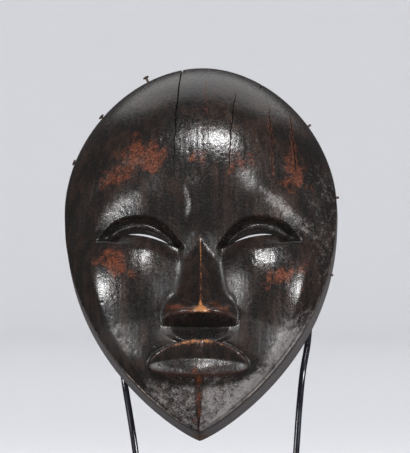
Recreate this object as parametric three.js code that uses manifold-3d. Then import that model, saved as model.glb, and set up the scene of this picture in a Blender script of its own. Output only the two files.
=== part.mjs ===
// A carved wooden face mask in the Dan manner, on a display stand of two bent rods and a foot.
// Millimetres, +Z up. The face looks along -Y. The origin is the centre of the foot's underside.
//
// The mask is first described in a frame of its own: x to the viewer's right, z from the tip of the
// chin up to the crown, and depth from the flat back rim forward to the face. It then leans back
// and rises onto the stand. Its carving is worked out by functions from shares of its own length,
// half width and forehead depth; walls, slit openings, nails and the stand have sizes of their own.

import * as THREE from 'three';
import { LoftGeometry } from 'three/addons/geometries/LoftGeometry.js';
import { mergeVertices } from 'three/addons/utils/BufferGeometryUtils.js';
import Module from 'manifold-3d';

const wasm = await Module();
wasm.setup();

// Driving sizes of the mask
const MASK_LENGTH = 240;
const MASK_WIDTH = 172;
const FOREHEAD_DEPTH = 63;
const WALL = 16;
const RIM_WIDTH = 12;
const CHIN_RIM = 18;

// Openings and cuts: the eye slits go right through, the pits and cracks do not
const SLIT_HEIGHT = 3.6;
const NOSTRIL_DIAMETER = 2.4;
const NOSTRIL_DEPTH = 2.5;
const CRACK_OPENING = 1;
const CRACK_BITE = 5;
const CRACK_OVERRUN = 2;
const CUT_OVERRUN = 6;

// Iron nails in the edge
const NAIL_SHANK_DIAMETER = 1.6;
const NAIL_HEAD_DIAMETER = 4.2;
const NAIL_HEAD_THICKNESS = 0.9;
const NAIL_DRIVEN = 6;

// Stand: a foot with two bent rods that hook into the hollow
const LEAN_DEGREES = 15;
const CHIN_CLEARANCE = 60;
const MASK_SIDE_SHIFT = -9.5;
const BASE_WIDTH = 140;
const BASE_LENGTH = 110;
const BASE_THICKNESS = 12;
const BASE_CORNER = 4;
const BASE_BEVEL = 1;
const ROD_DIAMETER = 4;
const ROD_SEAT = 8;
const ROD_FOOT_SPACING = 95;
const CLEARANCE = 0.3;
const RIM_GAP = 0.6;
const HANG_GAP = 0.5;

// How finely the free forms are cut
const FACE_ROWS = 60;
const FACE_COLUMNS = 44;
const HOLLOW_ROWS = 24;
const HOLLOW_COLUMNS = 20;
const ROD_STEPS = 32;
const ROD_SIDES = 8;
const NAIL_SIDES = 8;
const PIT_SIDES = 8;
const SEAT_SIDES = 16;
const SLIT_STEPS = 10;
const CRACK_STEPS = 14;

const HALF_WIDTH = MASK_WIDTH / 2;
const ROD_RADIUS = ROD_DIAMETER / 2;

// Outline: a full arch above the widest height, and a pointed one down to the chin
const WIDEST_HEIGHT = 0.606;
const CROWN_CURVE = 1.885;
const CHIN_CURVE = 2.24;
const CHIN_POWER = 0.84;

// Depth of the bare face on its centre line, and of the arris round its edge:
// height as a share of the length, then depth as a share of the forehead's depth
const CENTRE_DEPTHS = [
  [0, 0.4], [0.04, 0.53], [0.1, 0.63], [0.17, 0.69], [0.26, 0.745], [0.38, 0.79],
  [0.5, 0.82], [0.57, 0.885], [0.65, 0.965], [0.73, 1], [1, 1],
];
const EDGE_DEPTHS = [
  [0, 0.4], [0.1, 0.48], [0.22, 0.54], [0.36, 0.52],
  [0.5, 0.44], [0.66, 0.34], [0.84, 0.26], [1, 0.24],
];
const CROWN_START = 0.73;
const CROWN_ROUND = 2.2;
const CROWN_FALL = 0.75;
const KEEL_TOP = 0.2;

// Carved features as shares: across of the half width, up of the length, out of the forehead's depth
const BROW = {
  across: 0.5, height: 0.551, innerDrop: 0.02, outerDrop: 0.05, end: 0.86,
  roll: 0.036, thick: 0.026, out: 0.07,
};
const SOCKET = { depth: 0.17, step: 0.026, drop: 0.085, end: 0.72 };
const LID = { lift: 0.019, thick: 0.008, out: 0.02 };
const SLIT = { across: 0.39, reach: 0.174, height: 0.509, arch: 0.0125 };
const NOSTRIL_ACROSS = 0.105;
const CHEEK = { across: 0.46, height: 0.415, wide: 0.27, tall: 0.08, out: 0.1 };
const NOSE = {
  root: 0.512, tip: 0.277, rootOut: 0.77, tipOut: 1.13, rootWide: 0.03, baseWide: 0.19, under: 0.014,
};
const WING = { wide: 0.285, top: 0.35, out: 0.2, join: 0.0635 };
const MOUTH = { wide: 0.371, corner: 0.159, top: 0.211, line: 0.1725, bottom: 0.113, edge: 0.01 };
const LIPS = { upper: 0.15, lower: 0.14, line: 0.045 };
const SCAR = { low: 0.55, high: 0.61, wide: 0.045, out: 0.035 };

// Cracks: where they start and end, and how far from the centre line
const CRACKS = [
  { fromAcross: -0.15, toAcross: -0.187, start: 1, end: 0.7 },
  { fromAcross: 0.252, toAcross: 0.219, start: 0.9, end: 0.664 },
];

// Nails: side of the face, height as a share of the length, how far they stand off the edge
const NAILS = [
  { name: 'rim_nail_left_top', side: -1, up: 0.9625, standOff: 5.5, headed: true },
  { name: 'rim_nail_left_middle', side: -1, up: 0.867, standOff: 2.6, headed: true },
  { name: 'rim_nail_left_low', side: -1, up: 0.745, standOff: 1.6, headed: true },
  { name: 'rim_nail_right_top', side: 1, up: 0.845, standOff: 3, headed: false },
  { name: 'rim_nail_right_middle', side: 1, up: 0.65, standOff: 1.6, headed: false },
  { name: 'rim_nail_right_low', side: 1, up: 0.436, standOff: 1.6, headed: false },
];

// Rods, as shares: across of the half width, up of the length from the tip of the chin.
// The run stands straight up below the mask, and the bends lie close behind the rim.
const RODS = {
  left: {
    side: -1,
    run: [[0.477, -0.033], [0.519, 0.067]],
    bends: [[0.563, 0.173], [0.616, 0.313], [0.663, 0.479], [0.616, 0.625]],
  },
  right: {
    side: 1,
    run: [[0.7, -0.033], [0.721, 0.075], [0.749, 0.179]],
    bends: [[0.786, 0.277], [0.791, 0.354], [0.721, 0.492], [0.628, 0.625]],
  },
};
// The hooked ends of both rods: across, and out of the forehead's depth
const HOOK = { across: 0.51, reach: 0.444, rise: 0.092 };

const { clamp, lerp, smoothstep } = THREE.MathUtils;
const bell = (x, centre, width) => Math.exp(-(((x - centre) / width) ** 2) / 2);

// Smooth curve through [position, value] pairs
function through(points, x) {
  const last = points.length - 1;
  if (x <= points[0][0]) return points[0][1];
  if (x >= points[last][0]) return points[last][1];
  const i = points.findIndex(([p]) => p > x) - 1;
  const slope = (j) => {
    const a = points[Math.max(j - 1, 0)];
    const b = points[Math.min(j + 1, last)];
    return (b[1] - a[1]) / (b[0] - a[0]);
  };
  const [x0, y0] = points[i];
  const [x1, y1] = points[i + 1];
  const span = x1 - x0;
  const t = (x - x0) / span;
  const t2 = t * t;
  const t3 = t2 * t;
  return (2 * t3 - 3 * t2 + 1) * y0 + (t3 - 2 * t2 + t) * span * slope(i)
    + (3 * t2 - 2 * t3) * y1 + (t3 - t2) * span * slope(i + 1);
}

// Half width of the outline at a height, or of the hollow's mouth inside the rim
function halfWidthAt(z, inset = 0, chinInset = 0) {
  const widest = WIDEST_HEIGHT * MASK_LENGTH;
  const half = HALF_WIDTH - inset;
  if (z >= widest) {
    const up = Math.min((z - widest) / (MASK_LENGTH - widest - inset), 1);
    return half * (1 - up ** CROWN_CURVE) ** (1 / CROWN_CURVE);
  }
  const down = Math.min((widest - z) / (widest - chinInset), 1);
  return half * (1 - down ** CHIN_CURVE) ** CHIN_POWER;
}

// Height of the outline's top edge at a distance from the centre line
function topEdgeAt(x) {
  const widest = WIDEST_HEIGHT * MASK_LENGTH;
  const out = Math.abs(x) / HALF_WIDTH;
  return widest + (MASK_LENGTH - widest) * (1 - out ** CROWN_CURVE) ** (1 / CROWN_CURVE);
}

// Depth of the bare face: a dome over the arris that turns into a keel at the chin
function bareDepth(across, up) {
  const crown = Math.max((up - CROWN_START) / (1 - CROWN_START), 0);
  const edge = through(EDGE_DEPTHS, up);
  const fall = (1 - Math.min(crown, 1) ** CROWN_ROUND) ** CROWN_FALL;
  const centre = edge + (through(CENTRE_DEPTHS, up) - edge) * fall;
  const keel = 1 - smoothstep(up, 0.04, KEEL_TOP);
  const share = Math.max(1 - across ** lerp(2.4, 1.15, keel), 0) ** lerp(0.72, 1, keel);
  return FOREHEAD_DEPTH * (edge + (centre - edge) * share);
}

// Height of the sharp lower edge of the brow
function browHeight(a) {
  const inner = Math.max(BROW.across - a, 0) / BROW.across;
  const outer = Math.max(a - BROW.across, 0) / 0.3;
  return BROW.height - BROW.innerDrop * inner ** 1.3 - BROW.outerDrop * outer ** 2;
}

// Height of an eye slit's middle line: an arch, lower at the nose
function slitLine(a) {
  const t = (a - SLIT.across) / SLIT.reach;
  return SLIT.height + SLIT.arch * (t - t * t);
}

// Eye region: brow roll, sunk socket, thin raised lid and the round cheek below the slit
function eyeRelief(a, up) {
  const brow = browHeight(a);
  const slit = slitLine(clamp(a, 0.1, 0.62));
  const below = clamp((slit - up) / SOCKET.drop, 0, 1);
  const recess = smoothstep(brow - up, -0.004, SOCKET.step) * (1 - below) ** 2
    * (1 - smoothstep(a, SOCKET.end - 0.2, SOCKET.end + 0.12));
  const roll = bell(up, brow + BROW.roll, BROW.thick) * smoothstep(a, 0.1, 0.4)
    * (1 - smoothstep(a, BROW.end - 0.14, BROW.end + 0.02));
  const lidSpan = smoothstep(a, 0.14, 0.26) * (1 - smoothstep(a, 0.54, 0.68));
  const lid = bell(up, slit + LID.lift, LID.thick) * lidSpan;
  const cheekAcross = (a - CHEEK.across) / CHEEK.wide;
  const cheekUp = (up - CHEEK.height) / CHEEK.tall;
  const cheek = Math.exp(-(cheekAcross ** 2) - cheekUp ** 2);
  return CHEEK.out * cheek + BROW.out * roll + LID.out * lid - SOCKET.depth * recess;
}

// Nose: a sharp ridge between two flat sides that run softly into round wings, cut off flat below
function noseRelief(a, up, ground) {
  const down = Math.min((NOSE.root - up) / (NOSE.root - NOSE.tip), 1);
  if (down <= 0) return 0;
  const under = smoothstep(up, NOSE.tip - NOSE.under, NOSE.tip);
  const ridge = lerp(NOSE.rootOut, NOSE.tipOut, down) * FOREHEAD_DEPTH - ground;
  const roof = ridge * (1 - a / lerp(NOSE.rootWide, NOSE.baseWide, down ** 0.8));
  const flare = clamp((WING.top - up) / (WING.top - NOSE.tip), 0, 1);
  const edge = WING.wide * lerp(0.6, 1, flare ** 0.5);
  const wing = WING.out * FOREHEAD_DEPTH * smoothstep(flare, 0, 0.9) * (1 - (a / edge) ** 4);
  const join = WING.join * FOREHEAD_DEPTH;
  const share = clamp(0.5 + (roof - wing) / (2 * join), 0, 1);
  const joined = lerp(wing, roof, share) + join * share * (1 - share);
  return Math.max(lerp(Math.max(roof, wing), joined, smoothstep(flare, 0, 0.5)), 0) * under;
}

// Heights of the lips' outer edges and of the line between them, drawn together at the corners
function lipHeights(a) {
  const t = Math.min(a / MOUTH.wide, 1);
  const close = 1 - t * t;
  return {
    top: lerp(MOUTH.corner, MOUTH.top, smoothstep(1 - t, -0.15, 0.62)),
    line: lerp(MOUTH.corner, MOUTH.line, close ** 0.8),
    bottom: lerp(MOUTH.corner, MOUTH.bottom, close ** 0.55),
  };
}

// Mouth: two full lips with sharp outer edges that roll in to the line between them
function mouthRelief(a, up) {
  const t = a / MOUTH.wide;
  if (t >= 1) return 0;
  const { top, line, bottom } = lipHeights(a);
  const upper = up >= line;
  const reach = upper ? top - line : line - bottom;
  const share = Math.min(Math.abs(up - line) / reach, 1);
  const beyond = Math.abs(up - line) - reach;
  const swell = upper ? Math.sin((share * Math.PI) / 2) ** 0.9 : Math.sin(share * 2);
  const out = lerp(LIPS.line, upper ? LIPS.upper : LIPS.lower, swell);
  return out * (1 - smoothstep(beyond, 0, MOUTH.edge)) * (1 - t * t) ** 0.4;
}

// Scar: a short upright swelling between the brows
function scarRelief(a, up) {
  const low = smoothstep(up, SCAR.low - 0.02, SCAR.low + 0.02);
  const high = smoothstep(up, SCAR.high - 0.02, SCAR.high + 0.03);
  return SCAR.out * bell(a, 0, SCAR.wide) * low * (1 - high);
}

// Depth of the carved face at a place on the mask
function faceDepth(x, z) {
  const half = halfWidthAt(z);
  const up = z / MASK_LENGTH;
  const a = Math.abs(x) / HALF_WIDTH;
  const across = half > 0 ? Math.min(Math.abs(x) / half, 1) : 1;
  const relief = (eyeRelief(a, up) + scarRelief(a, up)) * (1 - smoothstep(across, 0.84, 1));
  const ground = bareDepth(across, up) + FOREHEAD_DEPTH * relief;
  return ground + noseRelief(a, up, ground) + FOREHEAD_DEPTH * mouthRelief(a, up);
}

// Depth of the hollow behind the face
function hollowDepth(x, z) {
  const half = halfWidthAt(z, RIM_WIDTH, CHIN_RIM);
  const widest = WIDEST_HEIGHT * MASK_LENGTH;
  const across = half > 0 ? Math.min(Math.abs(x) / half, 1) : 1;
  const reach = z > widest ? MASK_LENGTH - widest - RIM_WIDTH : widest - CHIN_RIM;
  const along = Math.min(Math.abs(z - widest) / reach, 1);
  const centre = through(CENTRE_DEPTHS, z / MASK_LENGTH) * FOREHEAD_DEPTH - WALL;
  return centre * (1 - across ** 2.4) ** 0.6 * (1 - along ** 3.4) ** 0.6;
}

// A place on the mask as a point: the face looks along -Y
const point = (x, depth, z) => new THREE.Vector3(x, -depth, z);

// The mask's own frame leans back and stands over the foot
const PLACE = new THREE.Matrix4()
  .makeTranslation(MASK_SIDE_SHIFT, 0, BASE_THICKNESS + CHIN_CLEARANCE)
  .multiply(new THREE.Matrix4().makeRotationX(THREE.MathUtils.degToRad(-LEAN_DEGREES)));

// A closed three.js geometry as a solid that can be joined and cut
function solidFrom(geometry) {
  const bare = new THREE.BufferGeometry();
  bare.setAttribute('position', geometry.getAttribute('position'));
  bare.setIndex(geometry.index);
  const merged = mergeVertices(bare, 1e-4);
  const index = merged.index.array;
  const triangles = [];
  for (let i = 0; i < index.length; i += 3) {
    const [a, b, c] = [index[i], index[i + 1], index[i + 2]];
    if (a !== b && b !== c && c !== a) triangles.push(a, b, c);
  }
  return new wasm.Manifold(new wasm.Mesh({
    numProp: 3,
    vertProperties: merged.attributes.position.array,
    triVerts: new Uint32Array(triangles),
  }));
}

// A solid as a three.js geometry again
function geometryFrom(solid) {
  const mesh = solid.getMesh();
  const geometry = new THREE.BufferGeometry();
  geometry.setAttribute('position', new THREE.BufferAttribute(mesh.vertProperties, 3));
  geometry.setIndex(new THREE.BufferAttribute(mesh.triVerts, 1));
  geometry.computeVertexNormals();
  return geometry;
}

// Positions from 0 to 1 that stand closer together where the density is higher
function spread(count, density) {
  const steps = 2000;
  const sums = [0];
  for (let i = 0; i < steps; i += 1) sums.push(sums[i] + density((i + 0.5) / steps));
  const total = sums[steps];
  return Array.from({ length: count + 1 }, (_, k) => {
    const goal = (total * k) / count;
    const i = Math.min(Math.max(sums.findIndex((s) => s >= goal), 1), steps);
    return (i - 1 + (goal - sums[i - 1]) / (sums[i] - sums[i - 1])) / steps;
  });
}

// Stations across the face, from -1 at the left arris to 1 at the right one
function faceStations() {
  const density = (s) => 1 + 1.3 * (1 - smoothstep(s, 0.3, 0.45)) + 0.2 / Math.sqrt(1.004 - s);
  const half = spread(FACE_COLUMNS / 2, density);
  return [...half.slice(1).reverse().map((s) => -s), ...half];
}

// Heights of the rows from chin to crown, close together at the mouth, nose and brow
function faceHeights() {
  const lipEdges = [MOUTH.top + MOUTH.edge / 2, MOUTH.bottom - MOUTH.edge / 2];
  const density = (up) => 1 + 1.2 * bell(up, MOUTH.line, 0.04)
    + 3 * bell(up, lipEdges[0], 0.005) + 3 * bell(up, lipEdges[1], 0.005)
    + 3 * bell(up, NOSE.tip - NOSE.under / 2, 0.014) + 2.2 * bell(up, SLIT.height + 0.016, 0.035)
    + 0.3 / Math.sqrt(1.003 - up) + bell(up, 0, 0.03);
  return spread(FACE_ROWS, density);
}

// A row's height at a distance from the centre line: rows bend along the brow and the lips
function bentRow(a, up, free) {
  const nearBrow = smoothstep(up, 0.36, 0.53) * (1 - smoothstep(up, 0.58, 0.76));
  const brow = (browHeight(Math.min(a, BROW.end)) - BROW.height) * nearBrow;
  const lips = lipHeights(a);
  const follow = 0.75 * (1 - smoothstep(a, 0.42, 0.64)) * free;
  const lipPairs = ['bottom', 'line', 'top'].map((k) => [MOUTH[k], lerp(MOUTH[k], lips[k], follow)]);
  const pairs = [[0.06, 0.06], ...lipPairs, [0.26, 0.26]];
  const i = pairs.findIndex(([p]) => p > up);
  if (i <= 0) return up + brow * free;
  const t = (up - pairs[i - 1][0]) / (pairs[i][0] - pairs[i - 1][0]);
  return lerp(pairs[i - 1][1], pairs[i][1], t);
}

// The carved block: a ring for each row, over the face and back across the flat rim
function carvedBlock() {
  const stations = faceStations();
  const sections = faceHeights().map((up) => {
    const half = halfWidthAt(up * MASK_LENGTH);
    const front = stations.map((s) => {
      const free = 1 - smoothstep(Math.abs(s), 0.86, 1);
      const z = bentRow((Math.abs(s) * half) / HALF_WIDTH, up, free) * MASK_LENGTH;
      const x = s * halfWidthAt(z);
      return point(x, faceDepth(x, z), z);
    });
    return [...front, point(half, 0, up * MASK_LENGTH), point(-half, 0, up * MASK_LENGTH)];
  });
  return solidFrom(new LoftGeometry(sections));
}

// The hollow, carried on behind the rim so that it cuts cleanly
function hollow() {
  const rows = spread(HOLLOW_ROWS, (t) => 1 + 0.3 / Math.sqrt(1.003 - t) + bell(t, 0, 0.08));
  const sections = rows.map((t) => {
    const z = lerp(CHIN_RIM, MASK_LENGTH - RIM_WIDTH, t);
    const half = halfWidthAt(z, RIM_WIDTH, CHIN_RIM);
    const front = Array.from({ length: HOLLOW_COLUMNS + 1 }, (_, i) => {
      const s = Math.sin(((i / HOLLOW_COLUMNS) * 2 - 1) * (Math.PI / 2));
      return point(s * half, hollowDepth(s * half, z), z);
    });
    return [...front, point(half, -CUT_OVERRUN, z), point(-half, -CUT_OVERRUN, z)];
  });
  return solidFrom(new LoftGeometry(sections));
}

// One eye slit: an arched blade right through the wall. Side is -1 or 1.
function eyeSlit(side) {
  const edge = (sign) => Array.from({ length: SLIT_STEPS + 1 }, (_, i) => {
    const t = (i / SLIT_STEPS) * 2 - 1;
    const a = SLIT.across + t * SLIT.reach;
    const open = (SLIT_HEIGHT / 2) * (1 - t * t) ** 0.7;
    return new THREE.Vector2(side * a * HALF_WIDTH, slitLine(a) * MASK_LENGTH + sign * open);
  });
  const outline = [...edge(-1), ...edge(1).slice(1, -1).reverse()];
  const length = { depth: FOREHEAD_DEPTH, bevelEnabled: false };
  const blade = new THREE.ExtrudeGeometry(new THREE.Shape(outline), length);
  blade.rotateX(Math.PI / 2);
  return solidFrom(blade);
}

// One nostril pit, drilled straight up into the underside of the nose
function nostril(side) {
  const radius = NOSTRIL_DIAMETER / 2;
  const pit = new THREE.CylinderGeometry(radius, radius, NOSTRIL_DEPTH * 2, PIT_SIDES);
  pit.rotateX(Math.PI / 2);
  const underside = (NOSE.tip - NOSE.under / 2) * MASK_LENGTH;
  pit.translate(side * NOSTRIL_ACROSS * HALF_WIDTH, -FOREHEAD_DEPTH, underside);
  return solidFrom(pit);
}

// A drying crack down the forehead: a thin wedge that follows the surface. One that starts
// at the crown runs over the arris and across the edge as well.
function crack({ fromAcross, toAcross, start, end }) {
  const open = start === 1;
  const x0 = fromAcross * HALF_WIDTH;
  const top = open ? topEdgeAt(x0) : start * MASK_LENGTH;
  const profile = Array.from({ length: CRACK_STEPS + 1 }, (_, i) => {
    const t = i / CRACK_STEPS;
    const x = lerp(x0, toAcross * HALF_WIDTH, t);
    const z = Math.min(lerp(top, end * MASK_LENGTH, t ** 1.4), topEdgeAt(x) - 0.01);
    return point(x, faceDepth(x, z), z);
  });
  const behind = [-CRACK_OVERRUN, 0, 0.4 * FOREHEAD_DEPTH * through(EDGE_DEPTHS, 1)];
  const back = open ? behind.map((depth) => point(x0, depth, top)) : [];
  const path = [...back, ...profile];
  const sections = path.map((p, i) => {
    const before = path[Math.max(i - 1, 0)];
    const after = path[Math.min(i + 1, path.length - 1)];
    const along = after.clone().sub(before).setX(0).normalize();
    const inward = new THREE.Vector3(0, -along.z, along.y);
    const share = i / (path.length - 1);
    const full = open ? 1 - 0.9 * share ** 2 : 0.1 + 0.9 * Math.sin(share * Math.PI);
    const half = (CRACK_OPENING / 2) * full;
    const outer = p.clone().addScaledVector(inward, -CRACK_OVERRUN);
    const inner = p.clone().addScaledVector(inward, CRACK_BITE * full);
    return [
      outer.clone().setX(p.x - half), inner.clone().setX(p.x - half * 0.2),
      inner.clone().setX(p.x + half * 0.2), outer.clone().setX(p.x + half),
    ];
  });
  return solidFrom(new LoftGeometry(sections, { capStart: true, capEnd: true }));
}

// Where a nail stands: a matrix whose +Z points straight out of the edge
function nailPlace({ side, up }) {
  const z = up * MASK_LENGTH;
  const step = 0.002 * MASK_LENGTH;
  const rise = new THREE.Vector3(halfWidthAt(z + step) - halfWidthAt(z - step), 0, 2 * step);
  const out = new THREE.Vector3(side * rise.z, 0, -rise.x).normalize();
  const turn = new THREE.Quaternion().setFromUnitVectors(new THREE.Vector3(0, 0, 1), out);
  const depth = (through(EDGE_DEPTHS, up) * FOREHEAD_DEPTH) / 2;
  const foot = point(side * halfWidthAt(z), depth, z);
  return new THREE.Matrix4().makeRotationFromQuaternion(turn).setPosition(foot);
}

// The hole that a nail sits in
function nailBore(nail) {
  const radius = NAIL_SHANK_DIAMETER / 2 + CLEARANCE;
  const bore = new THREE.CylinderGeometry(radius, radius, 2 * (NAIL_DRIVEN + CLEARANCE), NAIL_SIDES);
  bore.rotateX(Math.PI / 2);
  bore.applyMatrix4(nailPlace(nail));
  return solidFrom(bore);
}

// A hand-forged nail: a pointed shank, with or without its flat head
function nailGeometry(nail) {
  const shank = NAIL_SHANK_DIAMETER / 2;
  const head = NAIL_HEAD_DIAMETER / 2;
  const top = nail.standOff + NAIL_HEAD_THICKNESS;
  const edge = NAIL_HEAD_THICKNESS / 3;
  const stub = [[0, -NAIL_DRIVEN], [shank, -NAIL_DRIVEN / 2], [shank, nail.standOff]];
  const end = nail.headed
    ? [[head, nail.standOff], [head, top - edge], [head * 0.6, top], [0, top]]
    : [[shank * 0.6, nail.standOff + edge], [0, nail.standOff + edge]];
  const profile = [...stub, ...end].map(([r, h]) => new THREE.Vector2(r, h));
  const geometry = new THREE.LatheGeometry(profile, NAIL_SIDES);
  geometry.rotateX(Math.PI / 2);
  geometry.applyMatrix4(nailPlace(nail));
  geometry.applyMatrix4(PLACE);
  return geometryFrom(solidFrom(geometry));
}

// The whole mask: block, less its hollow, slits, pits, cracks and nail holes
function maskGeometry() {
  const pairs = [-1, 1].flatMap((side) => [eyeSlit(side), nostril(side)]);
  const cuts = [hollow(), ...pairs, ...CRACKS.map(crack), ...NAILS.map(nailBore)];
  return geometryFrom(wasm.Manifold.difference([carvedBlock(), ...cuts])).applyMatrix4(PLACE);
}

// Height at which the hollow's ceiling comes down to a depth
function ceilingAt(x, depth) {
  let low = WIDEST_HEIGHT * MASK_LENGTH;
  let high = MASK_LENGTH - RIM_WIDTH;
  for (let i = 0; i < 40; i += 1) {
    const middle = (low + high) / 2;
    if (hollowDepth(x, middle) > depth) low = middle;
    else high = middle;
  }
  return low;
}

// A rod's centre line: up from its seat, past the chin, behind the rim, then forward into the hollow
function rodPath({ side, run, bends }) {
  const behind = -(ROD_RADIUS + RIM_GAP);
  const onMask = (across, depth, z) => point(side * across * HALF_WIDTH, depth, z).applyMatrix4(PLACE);
  const upright = onMask(0, behind, RODS.left.bends[0][1] * MASK_LENGTH).y;
  const seatHeight = BASE_THICKNESS - ROD_SEAT + CLEARANCE;
  const footHeights = [0, 0.1, 0.3].map((share) => BASE_THICKNESS + share * CHIN_CLEARANCE);
  const footX = (side * ROD_FOOT_SPACING) / 2;
  const foot = [seatHeight, ...footHeights].map((z) => new THREE.Vector3(footX, upright, z));
  const chin = BASE_THICKNESS + CHIN_CLEARANCE;
  const below = run.map(([across, up]) => (
    new THREE.Vector3(MASK_SIDE_SHIFT + side * across * HALF_WIDTH, upright, chin + up * MASK_LENGTH)
  ));
  const along = bends.map(([across, up]) => onMask(across, behind, up * MASK_LENGTH));
  const reach = HOOK.reach * FOREHEAD_DEPTH;
  const ceiling = ceilingAt(HOOK.across * HALF_WIDTH + ROD_RADIUS, reach + ROD_RADIUS);
  const tip = ceiling - ROD_RADIUS - HANG_GAP;
  const rise = HOOK.rise * MASK_LENGTH;
  const hook = [
    onMask(HOOK.across * 1.07, reach * 0.3, tip - rise),
    onMask(HOOK.across * 1.02, reach * 0.75, tip - rise * 0.45),
    onMask(HOOK.across, reach, tip),
  ];
  return new THREE.CatmullRomCurve3([...foot, ...below, ...along, ...hook], false, 'centripetal');
}

function rodGeometry(rod) {
  const circle = new THREE.Shape(Array.from({ length: ROD_SIDES }, (_, i) => {
    const angle = (i / ROD_SIDES) * 2 * Math.PI;
    return new THREE.Vector2(Math.cos(angle), Math.sin(angle)).multiplyScalar(ROD_RADIUS);
  }));
  const sweep = { steps: ROD_STEPS, extrudePath: rodPath(rod), bevelEnabled: false };
  return geometryFrom(solidFrom(new THREE.ExtrudeGeometry(circle, sweep)));
}

// The foot: a block with round corners, bevelled edges and two blind seats
function baseGeometry() {
  const w = BASE_WIDTH / 2 - BASE_BEVEL;
  const l = BASE_LENGTH / 2 - BASE_BEVEL;
  const outline = new THREE.Shape();
  [[w, l, 0], [-w, l, 1], [-w, -l, 2], [w, -l, 3]].forEach(([x, y, quarter]) => {
    const cx = x - Math.sign(x) * BASE_CORNER;
    const cy = y - Math.sign(y) * BASE_CORNER;
    const from = (quarter * Math.PI) / 2;
    outline.absarc(cx, cy, BASE_CORNER, from, from + Math.PI / 2, false);
  });
  const block = new THREE.ExtrudeGeometry(outline, {
    depth: BASE_THICKNESS - 2 * BASE_BEVEL,
    bevelThickness: BASE_BEVEL,
    bevelSize: BASE_BEVEL,
    bevelSegments: 1,
    curveSegments: 4,
  });
  block.translate(0, 0, BASE_BEVEL);
  const seats = Object.values(RODS).map((rod) => {
    const foot = rodPath(rod).points[0];
    const radius = ROD_RADIUS + CLEARANCE;
    const seat = new THREE.CylinderGeometry(radius, radius, 2 * ROD_SEAT, SEAT_SIDES);
    seat.rotateX(Math.PI / 2);
    seat.translate(foot.x, foot.y, BASE_THICKNESS);
    return solidFrom(seat);
  });
  return geometryFrom(wasm.Manifold.difference([solidFrom(block), ...seats]));
}

// A named mesh with a plain material of its own
function part(name, geometry, color, roughness, metalness) {
  const mesh = new THREE.Mesh(geometry, new THREE.MeshStandardMaterial({ color, roughness, metalness }));
  mesh.name = name;
  return mesh;
}

const maskOnStand = new THREE.Group();
maskOnStand.name = 'face_mask_on_stand';
maskOnStand.add(part('mask', maskGeometry(), 0x2b1d16, 0.45, 0));
NAILS.forEach((nail) => maskOnStand.add(part(nail.name, nailGeometry(nail), 0x2a2624, 0.6, 0.8)));
Object.entries(RODS).forEach(([name, rod]) => {
  maskOnStand.add(part(`stand_rod_${name}`, rodGeometry(rod), 0x131217, 0.3, 0.4));
});
maskOnStand.add(part('stand_base', baseGeometry(), 0x121215, 0.35, 0.2));

export default maskOnStand;
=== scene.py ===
"""Carved face mask on its display stand: the looks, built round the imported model.

The mask's own frame is in millimetres from the back tip of the chin: x across to the viewer's
right, z up along the flat back, and depth straight out of it. Everything in Blender is in metres.
Shares up are of the mask's length, shares across (a) of its half width, and shares of depth of
the forehead's depth. A span holds the two places between which something fades in or out.
"""

import logging
import math
from dataclasses import dataclass, field
from enum import Enum

import bmesh
import bpy
import numpy as np
from bmesh.types import BMEdge, BMesh, BMVert
from bpy.types import Material, Mesh, Node, NodeSocket, NodeTree, Object
from mathutils import Matrix, Vector, noise


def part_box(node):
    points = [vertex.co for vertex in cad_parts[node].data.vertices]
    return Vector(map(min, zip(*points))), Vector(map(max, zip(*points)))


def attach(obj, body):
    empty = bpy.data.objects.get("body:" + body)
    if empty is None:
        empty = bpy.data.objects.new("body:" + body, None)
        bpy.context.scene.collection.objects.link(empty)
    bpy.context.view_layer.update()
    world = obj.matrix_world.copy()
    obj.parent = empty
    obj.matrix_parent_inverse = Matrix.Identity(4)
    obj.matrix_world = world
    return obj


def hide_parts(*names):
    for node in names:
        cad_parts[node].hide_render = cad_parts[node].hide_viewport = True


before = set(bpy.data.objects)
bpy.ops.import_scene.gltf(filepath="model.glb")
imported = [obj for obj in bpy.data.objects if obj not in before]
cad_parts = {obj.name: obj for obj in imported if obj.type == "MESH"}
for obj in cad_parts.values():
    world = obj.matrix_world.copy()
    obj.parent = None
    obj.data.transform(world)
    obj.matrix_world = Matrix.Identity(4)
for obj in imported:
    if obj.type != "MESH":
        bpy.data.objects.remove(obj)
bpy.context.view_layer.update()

LOG = logging.getLogger("face_mask")
MM = 0.001
TINY = 1e-6
BODY = "root"

Values = np.ndarray
Span = tuple[float, float]
Pairs = tuple[Span, ...]
Triple = tuple[float, float, float]
Colour = tuple[float, float, float, float]


class Slot(Enum):
    """The record's material slots."""

    WOOD = "carved_wood"
    IRON = "nail_iron"
    STAND = "stand_metal"


class Side(Enum):
    """The two sides of the face, as the viewer sees them."""

    LEFT = -1
    RIGHT = 1


def smooth(x: Values, low: float, high: float) -> Values:
    """A soft step from 0 at low to 1 at high.

    Args:
        x: Values to step.
        low: Where the step starts.
        high: Where it ends.

    Returns:
        The stepped values.
    """
    t = np.clip((x - low) / (high - low), 0.0, 1.0)
    return t * t * (3.0 - 2.0 * t)


def window(x: Values, rise: Span, fall: Span) -> Values:
    """A soft step up over one span and down again over another."""
    return smooth(x, *rise) * (1 - smooth(x, *fall))


def bell(x: Values, centre: float, width: float) -> Values:
    """A bell curve of height 1 round a centre."""
    return np.exp(-(((x - centre) / width) ** 2) / 2.0)


def lerp(a: float, b: float, t: Values) -> Values:
    """The mix of a and b at share t."""
    return a + (b - a) * t


def hermite(t: Values, start: Values, end: Values, start_pull: Values, end_pull: Values) -> Values:
    """A smooth way from start to end, with the given slopes at both."""
    ends = (2 * t**3 - 3 * t**2 + 1) * start + (3 * t**2 - 2 * t**3) * end
    return ends + (t**3 - 2 * t**2 + t) * start_pull + (t**3 - t**2) * end_pull


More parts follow.
